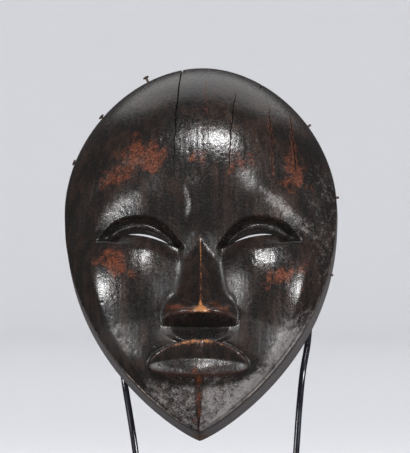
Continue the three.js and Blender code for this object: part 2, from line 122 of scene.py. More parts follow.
def through(points: Pairs, x: Values) -> Values:
    """A smooth curve through pairs of position and value.

    Args:
        points: The pairs, in rising order of position.
        x: Positions to read the curve at.

    Returns:
        The curve's values.
    """
    place = np.array([p[0] for p in points])
    value = np.array([p[1] for p in points])
    count = len(place)
    before = np.maximum(np.arange(count) - 1, 0)
    after = np.minimum(np.arange(count) + 1, count - 1)
    slope = (value[after] - value[before]) / (place[after] - place[before])
    x = np.clip(x, place[0], place[-1])
    i = np.clip(np.searchsorted(place, x, side="right") - 1, 0, count - 2)
    span = place[i + 1] - place[i]
    pulls = slope[i] * span, slope[i + 1] * span
    return hermite((x - place[i]) / span, value[i], value[i + 1], *pulls)


def ripple(points: Values, size: Triple, seed: float, octaves: int = 1) -> Values:
    """Soft noise between about -1 and 1.

    Args:
        points: Places as rows of three numbers.
        size: The length of a wave along each axis.
        seed: Shifts the pattern.
        octaves: How many finer layers are added.

    Returns:
        One value for each place.
    """
    scaled = points / np.array(size) + seed
    if octaves == 1:
        return np.array([noise.noise(Vector(p)) for p in scaled])
    return np.array([noise.fractal(Vector(p), 1.0, 2.0, octaves) for p in scaled])


@dataclass(frozen=True)
class Brow:
    """The brow's sharp lower edge and the roll above it, as shares."""

    edge: Pairs = (
        (0, 0.44), (0.155, 0.492), (0.23, 0.523), (0.31, 0.543), (0.42, 0.552),
        (0.55, 0.548), (0.63, 0.537), (0.7, 0.516), (0.76, 0.493), (0.85, 0.46),
    )
    crest: float = 0.036
    top: float = 0.14
    out: float = 0.05
    begins: Span = (0.13, 0.42)
    ends: Span = (0.72, 0.92)


@dataclass(frozen=True)
class Socket:
    """The sunk eye socket from the brow's edge down past the slit, as shares."""

    line: Pairs = (
        (0, 0.455), (0.15, 0.476), (0.24, 0.49), (0.3, 0.503), (0.39, 0.512),
        (0.5, 0.5135), (0.6, 0.509), (0.68, 0.504), (0.76, 0.497), (1, 0.49),
    )
    depth: float = 0.145
    step: Span = (-0.002, 0.013)
    drop: float = 0.055
    outer_drop: float = 0.012
    drop_shrinks: Span = (0.45, 0.76)
    lower: float = 0.36
    lower_ends: Span = (0.56, 0.68)
    lower_step: Span = (-0.008, 0.006)
    begins: Span = (0.1, 0.17)
    ends: Span = (0.66, 0.78)


@dataclass(frozen=True)
class Lid:
    """The thin raised lid over each slit, as shares."""

    line: Pairs = (
        (0.12, 0.463), (0.195, 0.489), (0.3, 0.5185), (0.42, 0.534),
        (0.55, 0.529), (0.645, 0.515), (0.72, 0.497),
    )
    thick: float = 0.007
    out: float = 0.034
    begins: Span = (0.14, 0.22)
    ends: Span = (0.6, 0.72)


@dataclass(frozen=True)
class Slit:
    """The eye slit, as shares, with its opening and the least half of it in millimetres."""

    across: float = 0.408
    reach: float = 0.2
    height: float = 0.512
    arch: float = 0.0135
    opening: float = 3.85
    least: float = 0.12
    tilt: float = 0.1
    tilt_depth: float = 45.0


@dataclass(frozen=True)
class Cheek:
    """The round cheek below each eye, as shares, and the power of its rounding."""

    across: float = 0.66
    height: float = 0.408
    wide: float = 0.52
    above: float = 0.115
    below: float = 0.15
    out: float = 0.083
    rounding: float = 1.3


@dataclass(frozen=True)
class Nose:
    """The nose with its ridge and wings, as shares.

    The ridge's least height and the foot, a soft border, are in millimetres.
    """

    root: float = 0.514
    tip: float = 0.277
    root_out: float = 0.77
    tip_out: float = 1.13
    root_wide: float = 0.04
    base_wide: float = 0.23
    taper: float = 0.8
    least_ridge: float = 6.0
    under: float = 0.014
    under_curve: float = 0.8
    wing_wide: float = 0.276
    wing_waist: float = 0.62
    wing_top: float = 0.36
    wing_out: float = 0.33
    wing_rise: float = 1.1
    wing_foot: Span = (0, 0.3)
    join: float = 0.05
    join_fades: Span = (0, 0.5)
    foot: float = 2.4
    nostril_across: float = 0.105
    hollow: float = 0.035
    hollow_wide: float = 0.29
    hollow_curve: Span = (3, 0.4)
    drift: float = 2.0
    drift_height: Span = (0.33, 0.13)
    drift_wide: float = 0.2


@dataclass(frozen=True)
class Mouth:
    """The two lips, as shares; a curve holds the two powers of a rounding."""

    wide: float = 0.371
    corner: float = 0.159
    top: float = 0.2175
    line: float = 0.172
    bottom: float = 0.119
    top_curve: Span = (2.2, 0.8)
    line_curve: Span = (2, 0.8)
    bottom_curve: Span = (2, 0.5)
    plan_curve: Span = (1.8, 0.55)
    edge: float = 0.009
    upper_out: float = 0.17
    lower_out: float = 0.155
    lower_crest: float = 0.84
    lower_fall: float = 0.55
    line_out: float = 0.11
    notch: float = 0.016
    notch_wide: float = 0.016
    notch_step: Span = (0.2, 0.5)


@dataclass(frozen=True)
class Scar:
    """The upright swelling between the brows, as shares; its shift and bow are in millimetres."""

    low: Span = (0.525, 0.565)
    high: Span = (0.595, 0.67)
    wide: float = 0.03
    right_flank: float = 2.4
    out: float = 0.021
    shift: float = -6.5
    bow: float = 2.6
    bow_height: Span = (0.58, 0.025)


@dataclass(frozen=True)
class MaskForm:
    """The carved form as depths over the mask's flat back, in millimetres."""

    length: float = 240.0
    half_width: float = 86.0
    forehead_depth: float = 63.0
    wall: float = 16.0
    rim_width: float = 12.0
    chin_rim: float = 18.0
    widest: float = 0.606
    crown_curve: float = 1.885
    chin_curve: float = 2.24
    chin_power: float = 0.84
    crown_start: float = 0.73
    crown_round: float = 2.2
    crown_fall: float = 0.75
    keel: Span = (0.1, 0.2)
    keel_curve: float = 1.1
    dome_curve: Span = (3.1, 2.4)
    dome_turns: Span = (0.44, 0.56)
    dome_power: float = 0.72
    relief_ends: Span = (0.84, 1)
    hollow_curves: Triple = (2.4, 3.4, 0.6)
    centre_depths: Pairs = (
        (0, 0.4), (0.04, 0.53), (0.1, 0.63), (0.17, 0.69), (0.26, 0.745), (0.38, 0.79),
        (0.5, 0.82), (0.57, 0.885), (0.65, 0.965), (0.73, 1), (1, 1),
    )
    edge_depths: Pairs = (
        (0, 0.4), (0.1, 0.48), (0.22, 0.54), (0.36, 0.52),
        (0.5, 0.44), (0.66, 0.34), (0.84, 0.26), (1, 0.24),
    )
    brow: Brow = Brow()
    socket: Socket = Socket()
    lid: Lid = Lid()
    slit: Slit = Slit()
    cheek: Cheek = Cheek()
    nose: Nose = Nose()
    mouth: Mouth = Mouth()
    scar: Scar = Scar()

    @property
    def widest_height(self) -> float:
        """Height of the widest place."""
        return self.widest * self.length

    def crown_outline(self, t: Values) -> Values:
        """Share of the half width that is left at a share of the way up to the crown."""
        return (1 - t**self.crown_curve) ** (1 / self.crown_curve)

    def chin_outline(self, t: Values) -> Values:
        """Share of the half width that is left at a share of the way down to the chin."""
        return (1 - t**self.chin_curve) ** self.chin_power

    def half_width_at(self, z: Values) -> Values:
        """Half width of the outline at a height.

        Args:
            z: Places up, in millimetres.

        Returns:
            Half widths in millimetres.
        """
        up = np.clip((z - self.widest_height) / (self.length - self.widest_height), 0, 1)
        down = np.clip((self.widest_height - z) / self.widest_height, 0, 1)
        above = z >= self.widest_height
        return self.half_width * np.where(above, self.crown_outline(up), self.chin_outline(down))

    def edge_depth(self, z: Values) -> Values:
        """Depth of the arris round the face at a height."""
        return self.forehead_depth * through(self.edge_depths, z / self.length)

    def bare_depth(self, across: Values, up: Values) -> Values:
        """Depth of the face with nothing carved on it.

        Args:
            across: Share of the half width at that height.
            up: Share of the length.

        Returns:
            Depths in millimetres: a dome that turns into a keel at the chin.
        """
        crown = np.clip((up - self.crown_start) / (1 - self.crown_start), 0, 1)
        edge = through(self.edge_depths, up)
        fall = (1 - crown**self.crown_round) ** self.crown_fall
        centre = edge + (through(self.centre_depths, up) - edge) * fall
        keel = 1 - smooth(up, *self.keel)
        curve = lerp(*self.dome_curve, smooth(up, *self.dome_turns))
        share = np.maximum(1 - across ** lerp(curve, self.keel_curve, keel), 0)
        return self.forehead_depth * (edge + (centre - edge) * share ** lerp(self.dome_power, 1.0, keel))

    def brow_height(self, a: Values) -> Values:
        """Height of the brow's sharp lower edge."""
        return through(self.brow.edge, a)

    def slit_line(self, a: Values) -> Values:
        """Height of an eye slit's middle line: an arch, lower at the nose."""
        t = (a - self.slit.across) / self.slit.reach
        return self.slit.height + self.slit.arch * (t - t * t)

    def brow_roll(self, a: Values, up: Values) -> Values:
        """How far the brow's roll stands out, from 0 to 1.

        Args:
            a: Share across.
            up: Share up.

        Returns:
            Shares.
        """
        brow = self.brow
        above = 1 - smooth(up - self.brow_height(a), brow.crest, brow.top)
        return above * window(a, brow.begins, brow.ends)

    def socket_recess(self, a: Values, up: Values) -> Values:
        """How far the eye socket is sunk in, from 0 to 1.

        Args:
            a: Share across.
            up: Share up.

        Returns:
            Shares.
        """
        socket = self.socket
        slit = through(socket.line, a)
        drop = lerp(socket.drop, socket.outer_drop, smooth(a, *socket.drop_shrinks))
        below = np.clip((slit - up) / drop, 0, 1)
        recess = smooth(self.brow_height(a) - up, *socket.step) * (1 + np.cos(math.pi * below)) / 2
        recess = recess * window(a, socket.begins, socket.ends)
        lower = lerp(socket.lower, 1.0, smooth(a, *socket.lower_ends))
        return recess * lerp(lower, 1.0, smooth(up - slit, *socket.lower_step))

    def lid_ridge(self, a: Values, up: Values) -> Values:
        """How far the eyelid stands out, from 0 to 1."""
        lid = self.lid
        return bell(up, through(lid.line, a), lid.thick) * window(a, lid.begins, lid.ends)

    def cheek_ball(self, a: Values, up: Values) -> Values:
        """How far the cheek stands out, from 0 to 1.

        Args:
            a: Share across.
            up: Share up.

        Returns:
            Shares.
        """
        cheek = self.cheek
        tall = np.where(up > cheek.height, cheek.above, cheek.below)
        off = ((a - cheek.across) / cheek.wide) ** 2 + ((up - cheek.height) / tall) ** 2
        return (1 - np.clip(off, 0, 1)) ** cheek.rounding

    def eye_relief(self, a: Values, up: Values) -> Values:
        """Cheek, brow roll, lid and socket, as a share of the forehead's depth.

        Args:
            a: Share across.
            up: Share up.

        Returns:
            Shares of the depth.
        """
        raised = self.cheek.out * self.cheek_ball(a, up) + self.brow.out * self.brow_roll(a, up)
        raised = raised + self.lid.out * self.lid_ridge(a, up)
        return raised - self.socket.depth * self.socket_recess(a, up)

    def nose_half_width(self, down: Values) -> Values:
        """Half width of the nose's roof at a share of the way from root to tip."""
        return lerp(self.nose.root_wide, self.nose.base_wide, down**self.nose.taper)

    def nose_down(self, up: Values) -> Values:
        """Share of the way down from the nose's root to its tip."""
        return np.clip((self.nose.root - up) / (self.nose.root - self.nose.tip), 0, 1)

    def nose_relief(self, a: Values, up: Values, ground: Values) -> Values:
        """The nose: a ridged roof joined with two wings.

        Args:
            a: Share across.
            up: Share up.
            ground: Depths of the face without the nose.

        Returns:
            Its height over the ground, in millimetres.
        """
        nose = self.nose
        down = self.nose_down(up)
        ridge = lerp(nose.root_out, nose.tip_out, down) * self.forehead_depth - ground
        roof = ridge - np.maximum(ridge, nose.least_ridge) * a / self.nose_half_width(down)
        flare = np.clip((nose.wing_top - up) / (nose.wing_top - nose.tip), 0, 1)
        edge = nose.wing_wide * lerp(nose.wing_waist, 1.0, 1 - (1 - flare) ** 2)
        wing = nose.wing_out * self.forehead_depth * smooth(flare, 0, 1) ** nose.wing_rise
        wing = wing * (1 - (a / edge) ** 3) - nose.foot * (1 - smooth(flare, *nose.wing_foot))
        join = nose.join * self.forehead_depth
        share = np.clip(0.5 + (roof - wing) / (2 * join), 0, 1)
        joined = lerp(wing, roof, share) + join * share * (1 - share)
        height = lerp(np.maximum(roof, wing), joined, smooth(flare, *nose.join_fades))
        soft = np.clip(height + nose.foot, 0, None) ** 2 / (4 * nose.foot)
        height = np.where(height < nose.foot, soft, height)
        under = np.clip((up - nose.tip) / nose.under + 1, 0, 1) ** nose.under_curve
        return np.where(down > 0, height * under, 0)

    def lip_hollow(self, a: Values, up: Values) -> Values:
        """The shallow hollow between nose and lips, as a share of the forehead's depth.

        Args:
            a: Share across.
            up: Share up.

        Returns:
            Shares of the depth.
        """
        nose, top = self.nose, self.mouth.top
        power, root = nose.hollow_curve
        fall = np.clip((nose.tip - up) / (nose.tip - top), 0, 1)
        wide = nose.hollow_wide * (1 - fall**power) ** root
        tall = smooth(up, top - 0.006, top + 0.01) * (1 - smooth(up, nose.tip - 0.006, nose.tip + 0.01))
        return nose.hollow * tall * (1 - smooth(a, wide - 0.09, wide + 0.02))

    def lip_heights(self, a: Values) -> tuple[Values, Values, Values]:
        """Heights of the lips' top edge, of the line between them and of their bottom edge.

        Args:
            a: Share across.

        Returns:
            The three heights as shares.
        """
        mouth = self.mouth
        t = np.minimum(a / mouth.wide, 1)
        heights = mouth.top, mouth.line, mouth.bottom
        rows = zip(heights, (mouth.top_curve, mouth.line_curve, mouth.bottom_curve))
        top, line, bottom = (lerp(mouth.corner, at, (1 - t**power) ** root) for at, (power, root) in rows)
        return top, line, bottom

    def mouth_relief(self, a: Values, up: Values) -> Values:
        """Two full lips that roll in to their line, as a share of the forehead's depth.

        Args:
            a: Share across.
            up: Share up.

        Returns:
            Shares of the depth.
        """
        mouth = self.mouth
        top, line, bottom = self.lip_heights(a)
        upper = up >= line
        reach = np.maximum(np.where(upper, top - line, line - bottom), TINY)
        share = np.minimum(np.abs(up - line) / reach, 1)
        beyond = np.abs(up - line) - reach
        upper_lip = lerp(mouth.line_out, mouth.upper_out, np.sin(share * math.pi / 2))
        upper_lip = upper_lip - mouth.notch * bell(a, 0, mouth.notch_wide) * smooth(share, *mouth.notch_step)
        rise = np.sin(np.minimum(share / mouth.lower_crest, 1) * math.pi / 2)
        fall = 1 - mouth.lower_fall * smooth(share, mouth.lower_crest, 1)
        out = np.where(upper, upper_lip, lerp(mouth.line_out, mouth.lower_out, rise) * fall)
        power, root = mouth.plan_curve
        plan = (1 - np.minimum(a / mouth.wide, 1) ** power) ** root
        return out * (1 - smooth(beyond, 0, mouth.edge)) * plan

    def scar_relief(self, x: Values, up: Values) -> Values:
        """The swelling between the brows, as a share of the forehead's depth.

        Args:
            x: Places across, in millimetres.
            up: Share up.

        Returns:
            Shares of the depth.
        """
        scar = self.scar
        middle = scar.shift + scar.bow * bell(up, *scar.bow_height)
        wide = scar.wide * self.half_width * np.where(x > middle, scar.right_flank, 1.0)
        return scar.out * bell(x, middle, wide) * window(up, scar.low, scar.high)

    def face_depth(self, x: Values, z: Values) -> Values:
        """Depth of the carved face at a place.

        Args:
            x: Places across, in millimetres.
            z: Places up, in millimetres.

        Returns:
            Depths in millimetres.
        """
        up = z / self.length
        a = np.abs(x) / self.half_width
        across = np.clip(np.abs(x) / np.maximum(self.half_width_at(z), TINY), 0, 1)
        relief = self.eye_relief(a, up) + self.scar_relief(x, up)
        relief = relief * (1 - smooth(across, *self.relief_ends)) - self.lip_hollow(a, up)
        ground = self.bare_depth(across, up) + self.forehead_depth * relief
        return ground + self.nose_relief(a, up, ground) + self.forehead_depth * self.mouth_relief(a, up)

    def drift(self, x: Values, z: Values) -> Values:
        """How far the nose is carved off the middle, in millimetres.

        Args:
            x: Places across, in millimetres.
            z: Places up, in millimetres.

        Returns:
            Shifts in millimetres.
        """
        nose = self.nose
        height = bell(z / self.length, *nose.drift_height)
        return nose.drift * height * bell(x / self.half_width, 0.0, nose.drift_wide)

    def hollow_depth(self, across: Values, along: Values, z: Values) -> Values:
        """Depth of the hollow.

        Args:
            across: Share of the hollow's half width at that height.
            along: Share of the way from the widest height to the hollow's end.
            z: Heights in millimetres.

        Returns:
            Depths in millimetres.
        """
        centre = through(self.centre_depths, z / self.length) * self.forehead_depth - self.wall
        round_across, round_along, power = self.hollow_curves
        return centre * (1 - across**round_across) ** power * (1 - along**round_along) ** power


@dataclass(frozen=True)
class Placement:
    """Where the mask's own frame stands: leaning back over the foot."""

    lean_degrees: float = 15.0
    side_shift: float = -9.5
    chin_height: float = 72.0

    def to_world(self, x: Values, depth: Values, z: Values) -> Values:
        """Places on the mask as rows of metres in the shared frame.

        Args:
            x: Places across, in millimetres.
            depth: Depths in millimetres.
            z: Places up, in millimetres.

        Returns:
            The rows.
        """
        lean = math.radians(self.lean_degrees)
        y = -depth * math.cos(lean) + z * math.sin(lean)
        height = depth * math.sin(lean) + z * math.cos(lean) + self.chin_height
        return np.stack([x + self.side_shift, y, height], axis=-1) * MM

    def to_mask(self, world: Values) -> tuple[Values, Values, Values]:
        """The x, depth and z on the mask of rows of metres.

        Args:
            world: The rows.

        Returns:
            x, depth and z in millimetres.
        """
        lean = math.radians(self.lean_degrees)
        x, y, height = (world / MM - np.array([self.side_shift, 0.0, self.chin_height])).T
        depth = -y * math.cos(lean) + height * math.sin(lean)
        return x, depth, y * math.sin(lean) + height * math.cos(lean)


FORM = MaskForm()
PLACE = Placement()


class NodeSheet:
    """A node tree with short ways to add and join nodes."""

    def __init__(self, tree: NodeTree) -> None:
        """Start on a tree."""
        self.tree = tree

    def add(self, kind: str, **settings: object) -> Node:
        """Add a node with some of its properties set.

        Args:
            kind: The node's type.
            settings: Its properties.

        Returns:
            The node.
        """
        node = self.tree.nodes.new(kind)
        for name, value in settings.items():
            setattr(node, name, value)
        return node

    def feed(self, socket: NodeSocket, value: object) -> None:
        """Join a socket to an output, or set it to a plain value.

        Args:
            socket: The input.
            value: An output or a plain value.
        """
        if isinstance(value, NodeSocket):
            self.tree.links.new(value, socket)
        else:
            socket.default_value = value

    def calculate(self, operation: str, *values: object) -> NodeSocket:
        """Join values one after another by a maths operation.

        Args:
            operation: The maths node's operation.
            values: Two or more outputs or numbers.

        Returns:
            The result's output.
        """
        total = values[0]
        for value in values[1:]:
            node = self.add("ShaderNodeMath", operation=operation)
            self.feed(node.inputs[0], total)
            self.feed(node.inputs[1], value)
            total = node.outputs[0]
        return total

    def step(self, value: object, low: float, high: float, to: Span = (0.0, 1.0)) -> NodeSocket:
        """A soft step of a value from one range to another.

        Args:
            value: The output to step.
            low: Where the step starts.
            high: Where it ends.
            to: The values before and after the step.

        Returns:
            The stepped output.
        """
        node = self.add("ShaderNodeMapRange", interpolation_type="SMOOTHSTEP")
        for name, number in zip(("From Min", "From Max", "To Min", "To Max"), (low, high, *to)):
            node.inputs[name].default_value = number
        self.feed(node.inputs["Value"], value)
        return node.outputs["Result"]

    def mix(self, share: object, a: object, b: object) -> NodeSocket:
        """The mix of two colours at a share.

        Args:
            share: The second one's share.
            a: The first colour.
            b: The second colour.

        Returns:
            The mixed colour.
        """
        node = self.add("ShaderNodeMix", data_type="RGBA", blend_type="MIX")
        for name, value in (("Factor_Float", share), ("A_Color", a), ("B_Color", b)):
            self.feed(next(s for s in node.inputs if s.identifier == name), value)
        return next(s for s in node.outputs if s.identifier == "Result_Color")

    def noise(self, vector: object, scale: object, detail: float, roughness: float = 0.6) -> NodeSocket:
        """Soft noise from 0 to 1.

        Args:
            vector: Where it is read.
            scale: Waves a metre.
            detail: How many finer layers it has.
            roughness: How strong they are.

        Returns:
            The noise's output.
        """
        node = self.add("ShaderNodeTexNoise")
        values = {"Vector": vector, "Scale": scale, "Detail": detail, "Roughness": roughness}
        for name, value in values.items():
            self.feed(node.inputs[name], value)
        return node.outputs["Fac"]

    def attribute(self, name: str) -> NodeSocket:
        """A value painted on the mesh."""
        node = self.add("ShaderNodeAttribute", attribute_type="GEOMETRY", attribute_name=name)
        return node.outputs["Fac"]

    def turned(self, vector: object, turn: Triple, stretch: Triple) -> NodeSocket:
        """A vector, turned and stretched.

        Args:
            vector: The vector's output.
            turn: Turn round each axis.
            stretch: Stretch along each axis.

        Returns:
            The new vector.
        """
        mapping = self.add("ShaderNodeMapping")
        mapping.inputs["Rotation"].default_value = turn
        mapping.inputs["Scale"].default_value = stretch
        self.feed(mapping.inputs["Vector"], vector)
        return mapping.outputs["Vector"]

    def places(self, turn: Triple = (0.0, 0.0, 0.0), stretch: Triple = (1.0, 1.0, 1.0)) -> NodeSocket:
        """Object coordinates, turned and stretched."""
        return self.turned(self.add("ShaderNodeTexCoord").outputs["Object"], turn, stretch)

    def bump(self, height: object, distance: float, strength: float, normal: object = None) -> NodeSocket:
        """Bend a normal by a height.

        Args:
            height: The height's output.
            distance: How high 1 is, in metres.
            strength: How strongly it shows.
            normal: The normal to bend, if it isn't the surface's own.

        Returns:
            The bent normal.
        """
        node = self.add("ShaderNodeBump")
        node.inputs["Distance"].default_value = distance
        node.inputs["Strength"].default_value = strength
        self.feed(node.inputs["Height"], height)
        if normal is not None:
            self.feed(node.inputs["Normal"], normal)
        return node.outputs["Normal"]

    def group(self, tree: NodeTree, **values: object) -> Node:
        """A placed copy of a node group, with its inputs set.

        Args:
            tree: The node group.
            values: What its inputs get.

        Returns:
            The node.
        """
        node = self.add("ShaderNodeGroup", node_tree=tree)
        for name, value in values.items():
            self.feed(node.inputs[name.title()], value)
        return node


def new_group(name: str, values: dict[str, float], outputs: tuple[str, ...]) -> tuple[NodeSheet, Node, Node]:
    """An empty shader node group with a vector input and some float sockets.

    Args:
        name: The group's name.
        values: The start value of each float input.
        outputs: The names of the float outputs.

    Returns:
        The group's sheet, its input node and its output node.
    """
    tree = bpy.data.node_groups.new(name, "ShaderNodeTree")
    tree.interface.new_socket("Vector", in_out="INPUT", socket_type="NodeSocketVector")
    for title, value in values.items():
        socket = tree.interface.new_socket(title, in_out="INPUT", socket_type="NodeSocketFloat")
        socket.default_value = value
    for title in outputs:
        tree.interface.new_socket(title, in_out="OUTPUT", socket_type="NodeSocketFloat")
    sheet = NodeSheet(tree)
    return sheet, sheet.add("NodeGroupInput"), sheet.add("NodeGroupOutput")


def mottle_group() -> NodeTree:
    """Blotches with ragged edges, such as worn or rusted places.

    Returns:
        The node group.
    """
    sheet, given, result = new_group("ragged_mottle", {"Scale": 100.0, "Amount": 0.5}, ("Mask", "Fine"))
    finer, layer = 4.2, 0.8
    broad = sheet.noise(given.outputs["Vector"], given.outputs["Scale"], 6.0, 0.65)
    fine_scale = sheet.calculate("MULTIPLY", given.outputs["Scale"], finer)
    fine = sheet.noise(given.outputs["Vector"], fine_scale, 4.0, 0.7)
    layers = [sheet.calculate("MULTIPLY", wave, layer) for wave in (broad, fine)]
    raised = sheet.calculate("ADD", *layers, given.outputs["Amount"])
    sheet.feed(result.inputs["Mask"], sheet.step(raised, 1.1, 1.5))
    sheet.feed(result.inputs["Fine"], fine)
    return sheet.tree


def scratch_group() -> NodeTree:
    """Fine handling marks: thin lines in two directions.

    Returns:
        The node group.
    """
    sheet, given, result = new_group("handling_marks", {"Scale": 60.0}, ("Marks",))
    lines = []
    for turn, stretch in (((0.3, 0.2, 0.9), (1.0, 1.0, 0.04)), ((0.8, 1.1, 0.2), (0.05, 1.0, 1.0))):
        vector = sheet.turned(given.outputs["Vector"], turn, stretch)
        lines.append(sheet.step(sheet.noise(vector, given.outputs["Scale"], 3.0), 0.62, 0.7))
    sheet.feed(result.inputs["Marks"], sheet.calculate("MAXIMUM", *lines))
    return sheet.tree


class Groups:
    """The node groups that several materials share."""

    def __init__(self) -> None:
        """Build each group once."""
        self.mottle = mottle_group()
        self.scratches = scratch_group()


def new_material(name: str) -> tuple[Material, NodeSheet, Node]:
    """A material with a plain Principled shader.

    Args:
        name: The material's name.

    Returns:
        The material, its sheet and its shader node.
    """
    material = bpy.data.materials.new(name)
    material.use_nodes = True
    material.node_tree.nodes.clear()
    sheet = NodeSheet(material.node_tree)
    shader = sheet.add("ShaderNodeBsdfPrincipled")
    output = sheet.add("ShaderNodeOutputMaterial")
    sheet.feed(output.inputs["Surface"], shader.outputs["BSDF"])
    return material, sheet, shader


def rgb(red: float, green: float, blue: float) -> Colour:
    """A linear colour with full alpha."""
    return (red, green, blue, 1.0)


@dataclass(frozen=True)
class Patina:
    """Dark handled wood, worn through to red brown, with a duller edge and a raw hollow, and the shade and
    highlights painted on its mesh.
    """

    dark: Colour = rgb(0.0058, 0.0046, 0.0042)
    brown: Colour = rgb(0.018, 0.0098, 0.007)
    maroon: Colour = rgb(0.021, 0.0086, 0.0064)
    red: Colour = rgb(0.1, 0.023, 0.0062)
    gold: Colour = rgb(0.25, 0.105, 0.038)
    grime: Colour = rgb(0.0078, 0.007, 0.006)
    # Grey of the bloom, which also paints highlights on the brows and the lower right cheek
    grey_bloom_and_highlight: Colour = rgb(0.12, 0.111, 0.108)
    band: Colour = rgb(0.062, 0.055, 0.057)
    line: Colour = rgb(0.33, 0.25, 0.2)
    raw: Colour = rgb(0.085, 0.05, 0.031)
    polish: float = 0.22
    dull: float = 0.62
    roughest: float = 0.85
    fibre_stretch: float = 0.07

    def build(self, groups: Groups) -> Material:
        """The mask's one material, which reads the values painted on its mesh.

        Args:
            groups: The shared node groups.

        Returns:
            The material.
        """
        material, sheet, shader = new_material("handled_dark_wood")
        lean = (math.radians(PLACE.lean_degrees), 0.0, 0.0)
        place = sheet.places(lean)
        fibre = sheet.places(lean, (1.0, 1.0, self.fibre_stretch))
        grain = sheet.noise(fibre, 900.0, 4.0)
        streaks = sheet.noise(fibre, 260.0, 5.0)
        speckle = sheet.noise(place, 900.0, 3.0)
        cloud = sheet.noise(place, 45.0, 4.0)

        streaked = sheet.calculate("MULTIPLY", streaks, 0.7)
        tinted = sheet.calculate("ADD", streaked, sheet.calculate("MULTIPLY", cloud, 0.6))
        colour = sheet.mix(sheet.step(tinted, 0.56, 0.86), self.dark, self.brown)
        red_tone = sheet.mix(sheet.step(speckle, 0.36, 0.7, (0.16, 1.0)), self.maroon, self.red)
        band = sheet.attribute("band")
        hollow = sheet.attribute("hollow")
        worn = {}
        # The grey bloom layer carries painted highlights on the brows and the lower right cheek as well as
        # real bloom
        for name, scale, tone in (
            ("bloom_and_painted_highlight", 260.0, self.grey_bloom_and_highlight), ("red_wear", 230.0, red_tone), ("grime", 300.0, self.grime),
            ("ridge_wear", 340.0, self.maroon), ("gold_wear", 260.0, self.gold), ("band", None, self.band),
            ("edge_line", 330.0, self.line),
        ):
            share = band
            if scale:
                blotches = sheet.group(groups.mottle, vector=place, scale=scale, amount=sheet.attribute(name))
                share = blotches.outputs["Mask"]
            worn[name] = share
            colour = sheet.mix(share, colour, tone)
        raw_tone = sheet.mix(sheet.step(streaks, 0.4, 0.65), self.raw, sheet.mix(0.55, self.raw, self.dark))
        colour = sheet.mix(hollow, colour, raw_tone)
        # Painted shade in the sockets, at the nose's root and on the cracks' walls, with the cracks' dark
        # lines, darkens the colour here
        colour = sheet.mix(sheet.attribute("painted_shade_and_crack_lines"), colour, self.dark)
        sheet.feed(shader.inputs["Base Color"], colour)

        rough = sheet.calculate(
            "ADD",
            sheet.step(speckle, 0.4, 0.68, (self.polish, self.polish + 0.16)),
            sheet.calculate("MULTIPLY", sheet.attribute("polish"), -0.09),
            sheet.step(streaks, 0.34, 0.66, (-0.02, 0.022)),
            sheet.calculate("MULTIPLY", worn["red_wear"], 0.02),
            sheet.calculate("MULTIPLY", worn["bloom_and_painted_highlight"], 0.08),
        )
        grimy = sheet.calculate("MULTIPLY", worn["grime"], 0.5)
        dull = sheet.calculate("MAXIMUM", hollow, band, grimy, sheet.attribute("unpolished"))
        dull = sheet.calculate("MULTIPLY", dull, self.dull - self.polish)
        rough = sheet.calculate("MINIMUM", sheet.calculate("ADD", rough, dull), self.roughest)
        sheet.feed(shader.inputs["Roughness"], rough)

        normal = sheet.bump(grain, 0.0002, 0.22)
        normal = sheet.bump(sheet.noise(place, 430.0, 3.0), 0.0006, 0.26, normal)
        pits = sheet.step(speckle, 0.3, 0.55)
        sheet.feed(shader.inputs["Normal"], sheet.bump(pits, 0.00016, 0.12, normal))
        return material


@dataclass(frozen=True)
class OldIron:
    """Dark forged iron with brown rust."""

    iron: Colour = rgb(0.028, 0.025, 0.024)
    rust: Colour = rgb(0.09, 0.045, 0.026)
    rust_scale: float = 700.0
    rust_amount: float = 0.5

    def build(self, groups: Groups) -> Material:
        """The nails' material.

        Args:
            groups: The shared node groups.

        Returns:
            The material.
        """
        material, sheet, shader = new_material("rusted_iron")
        values = {"vector": sheet.places(), "scale": self.rust_scale, "amount": self.rust_amount}
        rust = sheet.group(groups.mottle, **values)
        mask, fine = rust.outputs["Mask"], rust.outputs["Fine"]
        sheet.feed(shader.inputs["Base Color"], sheet.mix(mask, self.iron, self.rust))
        sheet.feed(shader.inputs["Roughness"], sheet.step(fine, 0.3, 0.7, (0.4, 0.75)))
        sheet.feed(shader.inputs["Metallic"], sheet.step(mask, 0.0, 1.0, (0.7, 0.1)))
        sheet.feed(shader.inputs["Normal"], sheet.bump(fine, 0.0002, 0.6))
        return material


@dataclass(frozen=True)
class BlackPaint:
    """Black paint on steel, from gloss on the rods to satin on the foot."""

    name: str
    colour: Colour
    roughness: float
    mark_scale: float
    dust_scale: float = 120.0
    dust_amount: float = 0.38

    def build(self, groups: Groups) -> Material:
        """A stand material, with handling marks and dust.

        Args:
            groups: The shared node groups.

        Returns:
            The material.
        """
        material, sheet, shader = new_material(self.name)
        place = sheet.places()
        marks = sheet.group(groups.scratches, vector=place, scale=self.mark_scale).outputs["Marks"]
        dust = sheet.group(groups.mottle, vector=place, scale=self.dust_scale, amount=self.dust_amount)
        touched = sheet.calculate("MAXIMUM", marks, dust.outputs["Mask"])
        paler = rgb(*(min(c * 2.2 + 0.006, 1.0) for c in self.colour[:3]))
        share = sheet.calculate("MULTIPLY", touched, 0.5)
        sheet.feed(shader.inputs["Base Color"], sheet.mix(share, self.colour, paler))
        rough = sheet.calculate("ADD", sheet.calculate("MULTIPLY", touched, 0.16), self.roughness)
        sheet.feed(shader.inputs["Roughness"], rough)
        peel = sheet.noise(place, 420.0, 2.0, 0.5)
        sheet.feed(shader.inputs["Normal"], sheet.bump(peel, 0.0001, 0.25))
        return material


